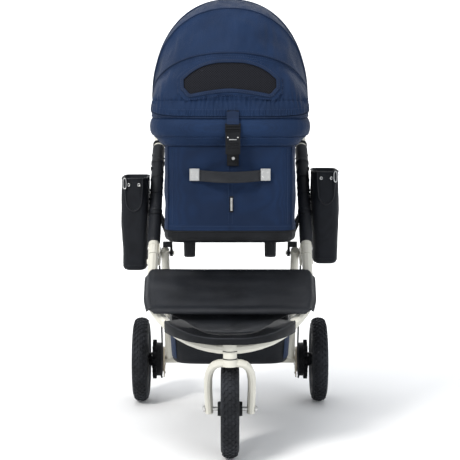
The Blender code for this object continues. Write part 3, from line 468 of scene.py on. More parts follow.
def curve_through(points, steps=8, closed=False):
    """A smooth line through points (Catmull-Rom)."""
    points = [Vector(p) for p in points]
    count = len(points)
    line = []
    for i in range(count if closed else count - 1):
        places = [i + k if not closed else (i + k) % count for k in (-1, 0, 1, 2)]
        near = [points[min(max(k, 0), count - 1)] for k in places]
        for step in range(steps):
            t = step / steps
            line.append(0.5 * (
                2 * near[1] + (near[2] - near[0]) * t
                + (2 * near[0] - 5 * near[1] + 4 * near[2] - near[3]) * t * t
                + (3 * near[1] - near[0] - 3 * near[2] + near[3]) * t ** 3
            ))
    return line if closed else line + [points[-1]]


def smoothstep(low, high, value):
    """Nothing below low, one above high, and a smooth rise between."""
    share = min(max((value - low) / (high - low), 0), 1)
    return share * share * (3 - 2 * share)


def ripple(place, size, seed=0.0):
    """Slow irregular noise between -1 and 1; size is in metres."""
    return noise.noise(Vector(place) / size + Vector((seed, seed * 0.7, -seed)))


def peak(distance, width):
    """One at no distance, falling straight to nothing at a width."""
    return max(0, 1 - abs(distance) / width)


def spread(low, high, count):
    """So many values, evenly from low to high."""
    return [low + (high - low) * i / (count - 1) for i in range(count)]


# ---------------------------------------------------------------- studio

CAMERA_PLACE, CAMERA_PITCH, CAMERA_LENS = (0, -3.73, 0.911), 6.0, 110.3


def studio():
    """A pale floor that runs up into the backdrop, soft lights and the photo's camera."""
    scene = bpy.context.scene
    floor_z = CAD_BOX[0].z - 0.0005
    sweep = [(3.0 + 2.5 * sin(a), 2.5 - 2.5 * cos(a)) for a in spread(0.15, pi / 2, 10)]
    section = [(-6, 0), (3.0, 0)] + sweep + [(5.5, 9)]
    paper = Look("studio_paper", (0.95, 0.95, 0.95), 0.85)
    paper.vary(paper.noise(1.5), 0.99, 1.0)
    PALETTE["paper"] = (None, paper)
    rows = [[(-9, y, z + floor_z), (9, y, z + floor_z)] for y, z in section]
    Piece("floor").grid(rows).make("paper")
    world = bpy.data.worlds.new("studio")
    scene.world = world
    world.use_nodes = True
    sky = world.node_tree.nodes["Background"]
    sky.inputs["Color"].default_value = (0.93, 0.96, 1.0, 1)
    sky.inputs["Strength"].default_value = 0.62
    aim, wall = Vector((0, -0.1, 0.55)), Vector((0, 5.5, 1.6))
    for name, place, size, power, color, target in (
        ("key", (-2.4, -3.2, 3.4), 1.3, 150, (1.0, 0.98, 0.95), aim),
        ("fill", (3.0, -3.0, 1.8), 2.6, 38, (0.94, 0.97, 1.0), aim),
        ("top", (-0.4, -1.2, 3.6), 1.6, 36, (1.0, 1.0, 1.0), aim),
        ("backdrop", (0.0, 2.0, 3.6), 3.0, 150, (1.0, 1.0, 1.0), wall),
    ):
        light = bpy.data.lights.new(name, "AREA")
        light.shape, light.size, light.energy, light.color = "DISK", size, power, color
        made = bpy.data.objects.new(name, light)
        made.location = place
        made.rotation_euler = (target - Vector(place)).to_track_quat("-Z", "Y").to_euler()
        scene.collection.objects.link(made)
    camera = bpy.data.cameras.new("camera")
    camera.lens, camera.sensor_width = CAMERA_LENS, 36.0
    made = bpy.data.objects.new("camera", camera)
    made.location = CAMERA_PLACE
    made.rotation_euler = (radians(90 - CAMERA_PITCH), 0, 0)
    scene.collection.objects.link(made)
    scene.camera = made
    scene.view_settings.view_transform = "Standard"


# ---------------------------------------------------------------- hood

HOOD_SIZE = (0.1995, 0.2595)    # half its width, and its reach from the pivots
HEM_LEAN = 98.0                 # leans are in degrees forward of upright
BOW_LEAN = {"top": -5.0, "mid": 28.0, "front": 63.0}
GATHER_LEAN = 89.3              # a drawn seam, with gathers on both sides
WINDOW_HALF = 0.116
LEAN_STEP, TURN_STEP = 1.2, 1.5
CLOTH_THICK = 0.0014


def hood_power(lean):
    """The dome grows squarer towards its hem."""
    return 2.2 + 2.8 * smoothstep(BOW_LEAN["front"], HEM_LEAN, abs(lean))


def hood_place(turn, lean):
    """A place on the hood: turn in degrees from the right pivot over the top, lean in degrees forward."""
    power, across, up = hood_power(lean), cos(radians(turn)), abs(sin(radians(turn)))
    swell = (abs(across) ** power + up ** power) ** (-1 / power)
    reach = HOOD_SIZE[1] * up * swell
    lean = radians(lean)
    return HOOD_AXIS + Vector((HOOD_SIZE[0] * across * swell, -reach * sin(lean), reach * cos(lean)))


def hood_normal(turn, lean):
    """The way out of the hood, from places a little to each side."""
    first = hood_place(turn + 0.4, lean) - hood_place(turn - 0.4, lean)
    second = hood_place(turn, lean + 0.4) - hood_place(turn, lean - 0.4)
    normal = first.cross(second).normalized()
    outward = hood_place(turn, lean) - HOOD_AXIS
    return normal if normal.dot(outward) > 0 else -normal


def hood_spots(turns, lean):
    """(place, normal) pairs along one lean."""
    return [(hood_place(turn, lean), hood_normal(turn, lean)) for turn in turns]


def hood_turn(x, lean):
    """The turn at which the hood stands at a place across it, found by halving."""
    low, high = 1.0, 179.0
    for _ in range(24):
        middle = (low + high) / 2
        low, high = (middle, high) if hood_place(middle, lean).x > x else (low, middle)
    return (low + high) / 2


def window_edges(s):
    """The leans of the kidney-shaped window's upper and lower edges; s runs from -1 to 1 across it."""
    top = 68.0 + 9.5 * abs(s) ** 3
    low = 84.0 + 4.0 * min(abs(s), 0.85) ** 1.5 - 4.5 * max(0, abs(s) - 0.85) / 0.15
    return top, low


def hood_relief(turn, lean, low, high):
    """How the cloth between two leans stands off the smooth dome: sag, folds, and gathers at the hem."""
    place = hood_place(turn, lean)
    share, over = (lean - low) / (high - low), sin(radians(turn))
    reaches_hem = high > BOW_LEAN["front"] + 1
    free = sin(pi * (min(share * 1.1, 1) if reaches_hem else share)) ** 0.7
    sag = -0.0055 * free * over ** 0.5 if high - low < 40 else -0.0035 * free * over
    folds = 0.0068 * free * ripple((place.x * 2.6, place.y * 0.7, place.z * 0.5), 0.11, low * 0.37)
    folds += 0.0036 * free * ripple((place.x * 3.5, place.y, place.z), 0.045, low * 0.11)
    value = sag + folds * over ** 0.4
    if abs(lean) > 75:
        from_seam = abs(lean) - GATHER_LEAN
        gather = peak(from_seam, 6.5) * smoothstep(76, 84, abs(lean))
        run = place.x if abs(place.y - HOOD_AXIS.y) > 0.2 else place.y
        value += gather * (0.0017 * sin(run * 2 * pi / 0.0115 + 3.2 * ripple(place, 0.03)) - 0.0008)
        value -= 0.0024 * peak(from_seam, 0.9)
        pucker = smoothstep(93.0, 94.5, abs(lean))
        value += pucker * (0.0009 * sin(run * 2 * pi / 0.0075 + 1.5 * ripple(place, 0.02, 3)) - 0.0002)
    return value


def hood_cloth(turn, lean, low, high, share=1.0):
    """A place on the cloth; its relief dies out at the pivots, and share weakens it."""
    edge = min(1, min(turn - 1, 179 - turn) / 8)
    relief = hood_relief(turn, lean, low, high) * edge * share
    return hood_place(turn, lean) + hood_normal(turn, lean) * relief


def hood_rows(low, high):
    """The grid of a whole panel between two leans."""
    leans = spread(low, high, max(3, int(abs(high - low) / LEAN_STEP) + 1))
    turns = spread(1.0, 179.0, int(178 / TURN_STEP) + 1)
    return [[hood_cloth(turn, lean, low, high) for turn in turns] for lean in leans]


def hood_seam(name, lean, body, gaps=(-1.4, 1.4)):
    """Piping over a bow, with a row of stitches at each gap, in degrees, beside it."""
    line = [p + n * 0.0004 for p, n in hood_spots(spread(1.5, 178.5, 110), lean)]
    Piece(f"{name}_piping").tube(line, 0.0021, sides=8).make("navy_trim", body)
    thread = Piece(f"{name}_stitches")
    for gap in gaps:
        thread.sew(hood_spots(spread(6, 174, 150), lean + gap), -0.0002, 0.0036)
    thread.make("thread", body)


def in_window(place, lean, margin=0.0):
    """Whether a place on the hood is in the window; a margin below nothing widens the window."""
    s = abs(place.x) / (WINDOW_HALF - margin)
    if s >= 1:
        return False
    top, low = window_edges(s)
    slack = degrees(margin / HOOD_SIZE[1])
    return top + slack < lean < low - slack


def hood_front_cloth():
    """The front panel, open at the window and calmer round it."""
    low, high = BOW_LEAN["front"], HEM_LEAN
    leans, turns = spread(low, high, 46), spread(1.0, 179.0, 241)
    wide = len(turns)
    points = []
    for lean in leans:
        for turn in turns:
            calm = 0.15 if in_window(hood_place(turn, lean), lean, -0.012) else 1.0
            points.append(hood_cloth(turn, lean, low, high, calm))
    faces = []
    for i in range(len(leans) - 1):
        for k in range(wide - 1):
            lean, turn = (leans[i] + leans[i + 1]) / 2, (turns[k] + turns[k + 1]) / 2
            if not in_window(hood_place(turn, lean), lean):
                corner = i * wide + k
                faces.append((corner, corner + 1, corner + wide + 1, corner + wide))
    panel = Piece("hood_front_cloth").add(points, faces)
    panel.make("navy", "hood_front", thick=CLOTH_THICK, replaces=["hood_panel_front"])


def window_spots(grow, steps):
    """(place, normal) pairs round the window's edge; grow moves it outwards in metres."""
    slack, half = degrees(grow / HOOD_SIZE[1]), WINDOW_HALF + grow
    shares = [sin(radians(a)) for a in spread(-90, 90, 26)]
    upper, lower = [[
        (half * s, (window_edges(s)[edge] + way * slack * (1 - 0.75 * abs(s) ** 6)) / 60, 0) for s in shares
    ] for edge, way in ((0, -1), (1, 1))]
    line = curve_through(upper[:-1] + lower[:0:-1], steps, closed=True)
    spots = []
    for across, lean, _ in line:
        spots += hood_spots([hood_turn(across, lean * 60)], lean * 60)
    return spots


def hood_window():
    """The mesh in the window, its binding and the seams round it."""
    rows = []
    for t in spread(-0.12, 1.12, 15):
        row = []
        for s in spread(-1.0, 1.0, 61):
            top, low = window_edges(s)
            lean, x = top + (low - top) * t, (WINDOW_HALF + 0.003) * s
            turn = hood_turn(x, lean)
            dip = -0.0016 - 0.0012 * sin(pi * min(max(t, 0), 1)) + 0.0006 * ripple((x, lean / 90, 0), 0.03)
            row.append(hood_place(turn, lean) + hood_normal(turn, lean) * dip)
        rows.append(row)
    Piece("window_net").grid(rows).make("net", "hood_front", thick=0.0008, replaces=["window_mesh"])
    spots = window_spots(0.0005, 4)
    route, ups = [p + n * 0.0008 for p, n in spots], [n for _, n in spots]
    band = Piece("window_binding").tube(route, 0.0046, 12, closed=True, flat=0.36, up=ups)
    band.make("navy_trim", "hood_front")
    thread = Piece("window_stitches")
    for grow, lift in ((0.0022, 0.0020), (0.0125, 0.0003)):
        spots = window_spots(grow, 6)
        thread.sew(spots + spots[:1], lift, gap=0.0022)
    thread.make("thread", "hood_front")


def hood():
    """The cloth over the bows, panel by panel, and its seams."""
    top, mid, fore = BOW_LEAN["top"], BOW_LEAN["mid"], BOW_LEAN["front"]
    rear = Piece("hood_rear_cloth").grid(hood_rows(-HEM_LEAN, top))
    rear.make("navy", "carrier", thick=CLOTH_THICK, replaces=["hood_shell_rear"])
    for name, low, high, bodies in (
        ("top", top, mid, ("carrier", "hood_mid")), ("mid", mid, fore, ("hood_mid", "hood_front")),
    ):
        cloth = Piece(f"hood_{name}_cloth").grid(hood_rows(low, high))
        made = cloth.make("navy", thick=CLOTH_THICK, replaces=[f"hood_panel_{name}"])
        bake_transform(made)
    hood_front_cloth()
    hood_window()
    hood_seam("bow_top", top, "carrier")
    hood_seam("bow_mid", mid, "hood_mid")
    hood_seam("bow_front", fore, "hood_front", gaps=(-1.4, 1.4, 2.6))
    thread = Piece("hem_stitches")
    for lean in (94.4, 97.3):
        thread.sew(hood_spots(spread(22, 158, 200), lean), 0.0006)
    thread.make("thread", "hood_front")


# ---------------------------------------------------------------- carrier

BOX_MIDDLE_Y = -0.0425
BOX_HALF = ((BOX_HIGH[0] - BOX_LOW[0]) / 2, (BOX_HIGH[1] - BOX_LOW[1]) / 2)
BOX_CORNER = atan(BOX_HALF[1] / BOX_HALF[0])
BOX_CORNERS = {"left_front": pi + BOX_CORNER, "left_back": pi - BOX_CORNER,
               "right_front": -BOX_CORNER, "right_back": BOX_CORNER}
STRAP_Z = 0.683
BUCKLE_X = 0.007
SNAP = ((0, 0.0040), (0.0006, 0.0040), (0.0012, 0.0034), (0.0012, 0.0016), (0.0007, 0.0010))
RIVET = ((-0.0004, 0.0021), (0.0004, 0.0019), (0.0009, 0.0010))

# The collar's section: (height, half width, half length, squareness, middle y, how loose the cloth is).
# A height of None follows the hood's hem.
COLLAR_Y = HOOD_AXIS.y
COLLAR_SECTION = (
    (0.7546, 0.1655, 0.2382, 9, -0.0425, 0.0), (0.7560, 0.1690, 0.2410, 8.5, -0.0430, 0.3),
    (0.7600, 0.1735, 0.2440, 8, -0.0440, 0.4), (0.7650, 0.1790, 0.2470, 7, -0.0460, 0.4),
    (0.7710, 0.1855, 0.2500, 6, -0.0480, 0.3), (0.7760, 0.1920, 0.2535, 5.4, -0.0492, 0.2),
    (0.7772, 0.1918, 0.2530, 5.3, -0.0495, 0.9), (0.7790, 0.1955, 0.2555, 5.2, COLLAR_Y, 0.9),
    (0.7830, 0.1995, 0.2580, 5, COLLAR_Y, 0.5), (0.7900, 0.2020, 0.2600, 5, COLLAR_Y, 0.3),
    (0.8000, 0.2030, 0.2608, 5, COLLAR_Y, 0.3), (0.8100, 0.2020, 0.2600, 5, COLLAR_Y, 0.3),
    (0.8170, 0.1995, 0.2582, 5, COLLAR_Y, 0.5), (0.8208, 0.1965, 0.2558, 5, COLLAR_Y, 0.9),
    (0.8222, 0.1948, 0.2540, 5, COLLAR_Y, 1.0), (0.8235, 0.1965, 0.2552, 5, COLLAR_Y, 0.8),
    (0.8255, 0.1982, 0.2560, 5, COLLAR_Y, 0.3), (None, 0.1988, 0.2562, 5, COLLAR_Y, 0.1),
    (None, 0.1965, 0.2535, 5, COLLAR_Y, 0.0), (0.8240, 0.1955, 0.2525, 5, COLLAR_Y, 0.0),
    (0.8238, 0.1770, 0.2355, 5, COLLAR_Y, 0.0), (0.8200, 0.1735, 0.2342, 5.2, COLLAR_Y, 0.0),
    (0.7820, 0.1720, 0.2340, 6, COLLAR_Y, 0.0), (0.7546, 0.1600, 0.2325, 9, -0.0425, 0.0),
)


def oval(turn, half_x, half_y, power, centre_y, z):
    """A place on a squared oval, at a turn in radians from the right, and the way out of it."""
    across, ahead = cos(turn), sin(turn)
    swell = (abs(across / half_x) ** power + abs(ahead / half_y) ** power) ** (-1 / power)
    place = Vector((across * swell, centre_y + ahead * swell, z))
    slope = Vector((
        abs(place.x / half_x) ** (power - 1) / half_x * (1 if across > 0 else -1),
        abs((place.y - centre_y) / half_y) ** (power - 1) / half_y * (1 if ahead > 0 else -1), 0))
    return place, slope.normalized()


def oval_turns(count):
    """Turns that pass closer together round the corners."""
    return [turn + 0.08 * sin(4 * turn) for turn in (2 * pi * i / count for i in range(count))]


def under_hem(place):
    """The height just under the hood's hem, which falls away to the front and the back."""
    return HOOD_AXIS.z - tan(radians(HEM_LEAN - 90)) * abs(place.y - COLLAR_Y) - 0.0016


def collar():
    """The padded roll round the box's rim, the band under it and the skirt up to the hood."""
    turns = oval_turns(288)
    around = turns + turns[:1]
    rows = []
    for z, half_x, half_y, power, centre_y, loose in COLLAR_SECTION:
        row = []
        for turn in turns:
            place, out = oval(turn, half_x, half_y, power, centre_y, z or 0)
            if z is None:
                place.z = under_hem(place)
            run = place.x if abs(out.y) > 0.7 else place.y
            pucker = 0.0011 * sin(run * 2 * pi / 0.0125 + 3 * ripple(place, 0.05))
            pucker += 0.0016 * ripple(place, 0.05, 2)
            row.append(place + out * (pucker * loose - 0.0003))
        rows.append(row)
    roll = Piece("collar_roll").grid(rows + rows[:1], around=True)
    roll.make("navy", "carrier", replaces=["carrier_collar"], smooth=60)
    thread = Piece("collar_stitches")
    for z, half_x, half_y, power, centre_y in (
        (0.7752, 0.1912, 0.2531, 5.4, -0.0492), (0.8262, 0.1984, 0.2562, 5, COLLAR_Y),
        (0.7592, 0.1728, 0.2436, 8, -0.0440),
    ):
        thread.sew([oval(t, half_x, half_y, power, centre_y, z) for t in around], 0.0002)
    thread.make("thread", "carrier")
    # The zip that holds hood to collar, seen as a line under the gathered hem.
    spots = [oval(t, 0.1990, 0.2565, 5, COLLAR_Y, 0) for t in around]
    tape = [p + n * 0.0004 + Vector((0, 0, under_hem(p) - 0.0018)) for p, n in spots]
    Piece("collar_zip").tube(tape, 0.0015, sides=8, up=[n for _, n in spots]).make("navy_trim", "carrier")


def box_wall(turn, z, grow=0.0):
    """A place on the box's walls and the way out of it."""
    return oval(turn, BOX_HALF[0] + grow, BOX_HALF[1] + grow, 9, BOX_MIDDLE_Y, z)


def carrier_box():
    """The cloth walls: taut, slightly rumpled, seamed down the front and hemmed at the foot."""
    turns = oval_turns(360)
    low, high = BOX_LOW[2], BOX_HIGH[2]
    rows = []
    for z in sorted(spread(low, high, 46) + [low + 0.0125, low + 0.0140, low + 0.0155]):
        hem = 1 - smoothstep(0.0115, 0.0140, z - low)
        free = sin(pi * min(max((z - low) / (high - low), 0), 1)) ** 0.5
        row = []
        for turn in turns:
            place, out = box_wall(turn, z)
            rumple = 0.0030 * ripple((place.x, place.y, place.z * 1.4), 0.075)
            rumple += 0.0010 * ripple(place, 0.028, 4)
            seam = 0
            if out.y < -0.8:
                from_seam = abs(place.x - 0.0005)
                seam = 0.0007 * peak(from_seam - 0.0040, 0.0030) - 0.0016 * peak(from_seam, 0.0022)
            row.append(place + out * (rumple * free * (1 - hem) + hem * 0.0010 + seam - 0.0008))
        rows.append(row)
    inner = [[box_wall(turn, z, -0.0045)[0] for turn in turns] for z in (high, (low + high) / 2, low)]
    walls = Piece("box_walls").grid(rows + inner + rows[:1], around=True)
    walls.make("navy_box", "carrier", replaces=["carrier_box"], smooth=60)

    thread = Piece("box_stitches")
    for z in (low + 0.0108, low + 0.0030):
        thread.sew([box_wall(t, z) for t in turns + turns[:1]], 0.0004, 0.0036)
    heights = spread(low + 0.016, high - 0.004, 60)
    for x in (-0.0042, 0.0052):
        thread.stitches([(x, BOX_FRONT - 0.0006, z) for z in heights], (0, -1, 0), 0.0036, 0.0024)
    for where, corner in BOX_CORNERS.items():
        for shift in (-0.055, 0.055):
            thread.sew([box_wall(corner + shift, z) for z in heights], 0.0004, 0.0036)
        spots = [box_wall(corner, z) for z in spread(low + 0.002, high - 0.002, 40)]
        piping = Piece(f"box_piping_{where}").tube([p + n * 0.0002 for p, n in spots], 0.0018, sides=8)
        piping.make("navy_trim", "carrier")
    thread.make("thread", "carrier")

    label = Piece("side_label").box((0.0035, BOX_FRONT - 0.0010, 0.612), (0.0046, 0.0007, 0.0200))
    label.make("cloth", "carrier", bevel=0.0004)
    stripes = Piece("side_label_stripes")
    for z in spread(0.5975, 0.6265, 11):
        stripes.box((0.0035, BOX_FRONT - 0.0018, z), (0.0024, 0.0003, 0.0007))
    stripes.make("white", "carrier")


def carry_strap():
    """The strap bows out between its two plates; its edges are padded and stitched."""
    half = ((-0.097, -0.0032), (-0.088, -0.0032), (-0.074, -0.0036), (-0.062, -0.0125), (-0.040, -0.0260))
    bend = half + ((0, -0.0312),) + tuple((-x, y) for x, y in reversed(half))
    line = curve_through([(x, BOX_FRONT + y, 0) for x, y in bend])
    section = ((-0.0138, -0.0016), (-0.0132, 0.0022), (-0.0110, 0.0027), (-0.0095, 0.0020), (0, 0.0028),
               (0.0095, 0.0020), (0.0110, 0.0027), (0.0132, 0.0022), (0.0138, -0.0016), (0, -0.0020))
    spots = []
    for i, place in enumerate(line):
        along = (line[min(i + 1, len(line) - 1)] - line[max(i - 1, 0)]).normalized()
        drop = -0.0030 * cos(pi * place.x / 0.2) ** 2
        spots.append((place + Vector((0, 0, STRAP_Z + drop)), Vector((along.y, -along.x, 0))))
    rows = []
    for place, out in spots:
        wave = 0.0007 * ripple((place.x, 0, 1), 0.02)
        rows.append([place + Vector((0, 0, h)) + out * (lift + wave) for h, lift in section])
    strap = Piece("carry_strap_leather").grid(rows, around=True)
    strap.make("leather", "carrier", replaces=["carry_strap"], smooth=50)

    thread = Piece("carry_strap_stitches")
    for x in (-0.0690, -0.0715, 0.0690, 0.0715):
        y = BOX_FRONT - 0.0072 - 0.0010 * (0.0715 - abs(x)) / 0.0025
        thread.stitches([(x, y, z) for z in spread(0.671, 0.695, 12)], (0, -1, 0), 0.0026, 0.0014)
    free = [(place, out) for place, out in spots if abs(place.x) <= 0.066]
    for h in (-0.0102, 0.0102):
        thread.sew([(place + Vector((0, 0, h)), out) for place, out in free], 0.0026, gap=0.0022)
    thread.make("thread_dark", "carrier")
    rivets = Piece("strap_plate_rivets")
    for side, _ in SIDES:
        low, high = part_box(f"strap_plate_{side}")
        for x, z in ((-0.006, -0.006), (0.006, -0.006), (-0.006, 0.006), (0.006, 0.006)):
            spot = ((low[0] + high[0]) / 2 + x, low[1] - 0.0001, (low[2] + high[2]) / 2 + z)
            rivets.turned(spot, (0, -1, 0), RIVET, 14)
    rivets.make("steel", "carrier")


def front_buckle():
    """The hood's webbing, the ribs and pins of its buckle, and the snap and stitches on the tab below."""
    face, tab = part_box("upper_buckle")[0][1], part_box("lower_buckle")[0][1]
    rows = []
    for z, out in ((0.8415, -0.0052), (0.835, -0.0060), (0.825, -0.0064), (0.815, -0.0080), (0.809, -0.0100)):
        y = HOOD_AXIS.y - 0.2575 + out
        rows.append([(BUCKLE_X + s * 0.0148, y + 0.0003 * abs(s), z) for s in spread(-1, 1, 9)])
    Piece("buckle_webbing").grid(rows).make("navy_trim", "hood_front", thick=0.0016)
    ribs = Piece("buckle_ribs")
    for z in (0.7520, 0.7565, 0.7610, 0.7655):
        ribs.box((BUCKLE_X, face - 0.0004, z), (0.0130, 0.0011, 0.0011))
    for z in (0.7925, 0.7990, 0.8060):
        ribs.box((BUCKLE_X, face + 0.0022, z), (0.0172, 0.0018, 0.0013))
    ribs.make("plastic", "hood_front", bevel=0.0005)
    metal = Piece("buckle_metal").box((BUCKLE_X, face - 0.0006, 0.7722), (0.0090, 0.0010, 0.0009))
    for dx in (-0.0120, 0.0120):
        pin = [(0, 0.0019), (0.0008, 0.0017), (0.0012, 0.0009)]
        metal.turned((BUCKLE_X + dx, face + 0.0002, 0.7775), (0, -1, 0), pin, 14)
    metal.make("steel", "hood_front", bevel=0.0003)
    snap = Piece("tab_snap").turned((BUCKLE_X + 0.001, tab + 0.0001, 0.7250), (0, -1, 0), SNAP, 24)
    snap.make("steel", "carrier")
    thread = Piece("tab_stitches")
    for z in (0.7085, 0.7115):
        route = [(BUCKLE_X + dx, tab - 0.0001, z) for dx in spread(-0.012, 0.012, 8)]
        thread.stitches(route, (0, -1, 0), 0.0030, 0.0016)
    thread.make("thread_dark", "carrier", slot="black_plastic")


VOXEL, CLOTH_STEPS, MOST_SWELL = 0.006, 20, 0.004


def cushion():
    """The bed cushion: a stuffed pad, filled by a short cloth simulation."""
    source = frame["nodes"]["bed_cushion"]
    made = source.copy()
    made.data = source.data.copy()
    made.name = "bed_pad"
    made.parent = None
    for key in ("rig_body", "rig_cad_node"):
        del made[key]
    scene = bpy.context.scene
    scene.collection.objects.link(made)
    slot, finish = PALETTE["navy_box"]
    made.data.materials.clear()
    made.data.materials.append(finish.made)
    remesh = made.modifiers.new("remesh", "REMESH")
    remesh.mode, remesh.voxel_size = "VOXEL", VOXEL
    apply_modifiers(made)
    rest = [v.co.copy() for v in made.data.vertices]
    cloth = made.modifiers.new("filling", "CLOTH").settings
    cloth.use_pressure = True
    cloth.uniform_pressure_force = 4.0
    cloth.effector_weights.gravity = 0.0
    cloth.tension_stiffness = 12
    cloth.bending_stiffness = 0.4
    scene.frame_start, scene.frame_end = 1, CLOTH_STEPS
    for step in range(1, CLOTH_STEPS + 1):
        scene.frame_set(step)
    apply_modifiers(made)
    scene.frame_set(1)
    for vertex, place in zip(made.data.vertices, rest):
        moved = vertex.co - place
        if moved.length > MOST_SWELL:
            moved *= MOST_SWELL / moved.length
        on_top = place.z > 0.54
        vertex.co = place + moved + Vector((0, 0, 0.0010 * ripple(place, 0.05) if on_top else 0))
    finer = made.modifiers.new("finer", "SUBSURF")
    finer.levels = finer.render_levels = 1
    apply_modifiers(made)
    shade(made, 70)
    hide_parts("bed_cushion")
    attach(made, "carrier")




# ---------------------------------------------------------------- soft parts on the frame

def round_tube(count):
    """Ways out of a main tube, all the way round it."""
    turns = [2 * pi * k / count for k in range(count)]
    return [Vector((cos(turn), 0, 0)) + TUBE_UNDER * sin(turn) for turn in turns]


def sleeves():
    """Leatherette sleeves on the main tubes: seams, rivets and snaps, drawn in at both ends."""
    start, end, radius = 0.041, 0.385, 0.0170
    bands = (0.130, 0.205, 0.262)
    for side, sign in SIDES:
        sleeve, seams = Piece(f"sleeve_{side}"), Piece(f"sleeve_seams_{side}")
        rivets, thread = Piece(f"sleeve_rivets_{side}"), Piece(f"sleeve_stitches_{side}")
        rows = []
        for along in [start] + spread(start, end, 120) + [end]:
            dip = -0.0011 * max(peak(along - band, 0.0022) for band in bands)
            close = min(along - start, end - along)
            size = radius - 0.0016 * (1 - smoothstep(0, 0.006, close))
            place = on_tube(along, 0, sign * tube_x(along))
            row = []
            for out in round_tube(36):
                rumple = 0.0004 * ripple((place.x + out.x * 0.02, place.y + out.y * 0.02, place.z), 0.02)
                row.append(place + out * (size + dip + rumple))
            rows.append(row)
        for index, along in ((0, start), (-1, end)):
            centre = on_tube(along, 0, sign * tube_x(start))
            rows[index] = [centre + (p - centre) * (0.0142 / (p - centre).length) for p in rows[index]]
        sleeve.grid(rows, around=True).make("leather", "frame", replaces=[f"tube_sleeve_{side}"], smooth=50)
        for band in bands:
            ring = []
            for k, out in enumerate(round_tube(36)):
                turn = 2 * pi * k / 36
                slant = 0.004 * abs(sin(turn)) if band == bands[-1] else 0.010 * abs(sin(turn / 2 + pi / 4))
                place = on_tube(band + slant, 0, sign * tube_x(band)) + out * (radius + 0.0002)
                ring.append((place, out))
            seams.tube([place for place, _ in ring], 0.0009, sides=6, closed=True)
            for shift in (-0.0035, 0.0035):
                spots = [(place + TUBE_DIRECTION * shift, out) for place, out in ring + ring[:1]]
                thread.sew(spots, 0, 0.0030, 0.0020)
        seams.make("leather", "frame")
        thread.make("thread_dark", "frame")
        for outward, places in ((sign, (0.352, 0.330, 0.224, 0.176)), (-sign, (0.340, 0.290, 0.232))):
            for along in places:
                centre = on_tube(along, -0.004, sign * tube_x(along)) + Vector((outward * 0.0164, 0, 0))
                rivet = [(-0.0008, 0.0030), (0.0006, 0.0030), (0.0014, 0.0022), (0.0017, 0.0010)]
                rivets.turned(centre, (outward, -0.25, 0), rivet, 16)
        for along in (0.300, 0.190):
            centre = on_tube(along, -0.006, sign * tube_x(along)) + Vector((sign * 0.0158, 0, 0))
            snap = [(-0.0010, 0.0058), (0.0008, 0.0058), (0.0020, 0.00464), (0.0020, 0.00261),
                    (0.0014, 0.00232)]
            rivets.turned(centre, (sign, -0.35, 0), snap, 20)
        rivets.make("plastic", "frame")


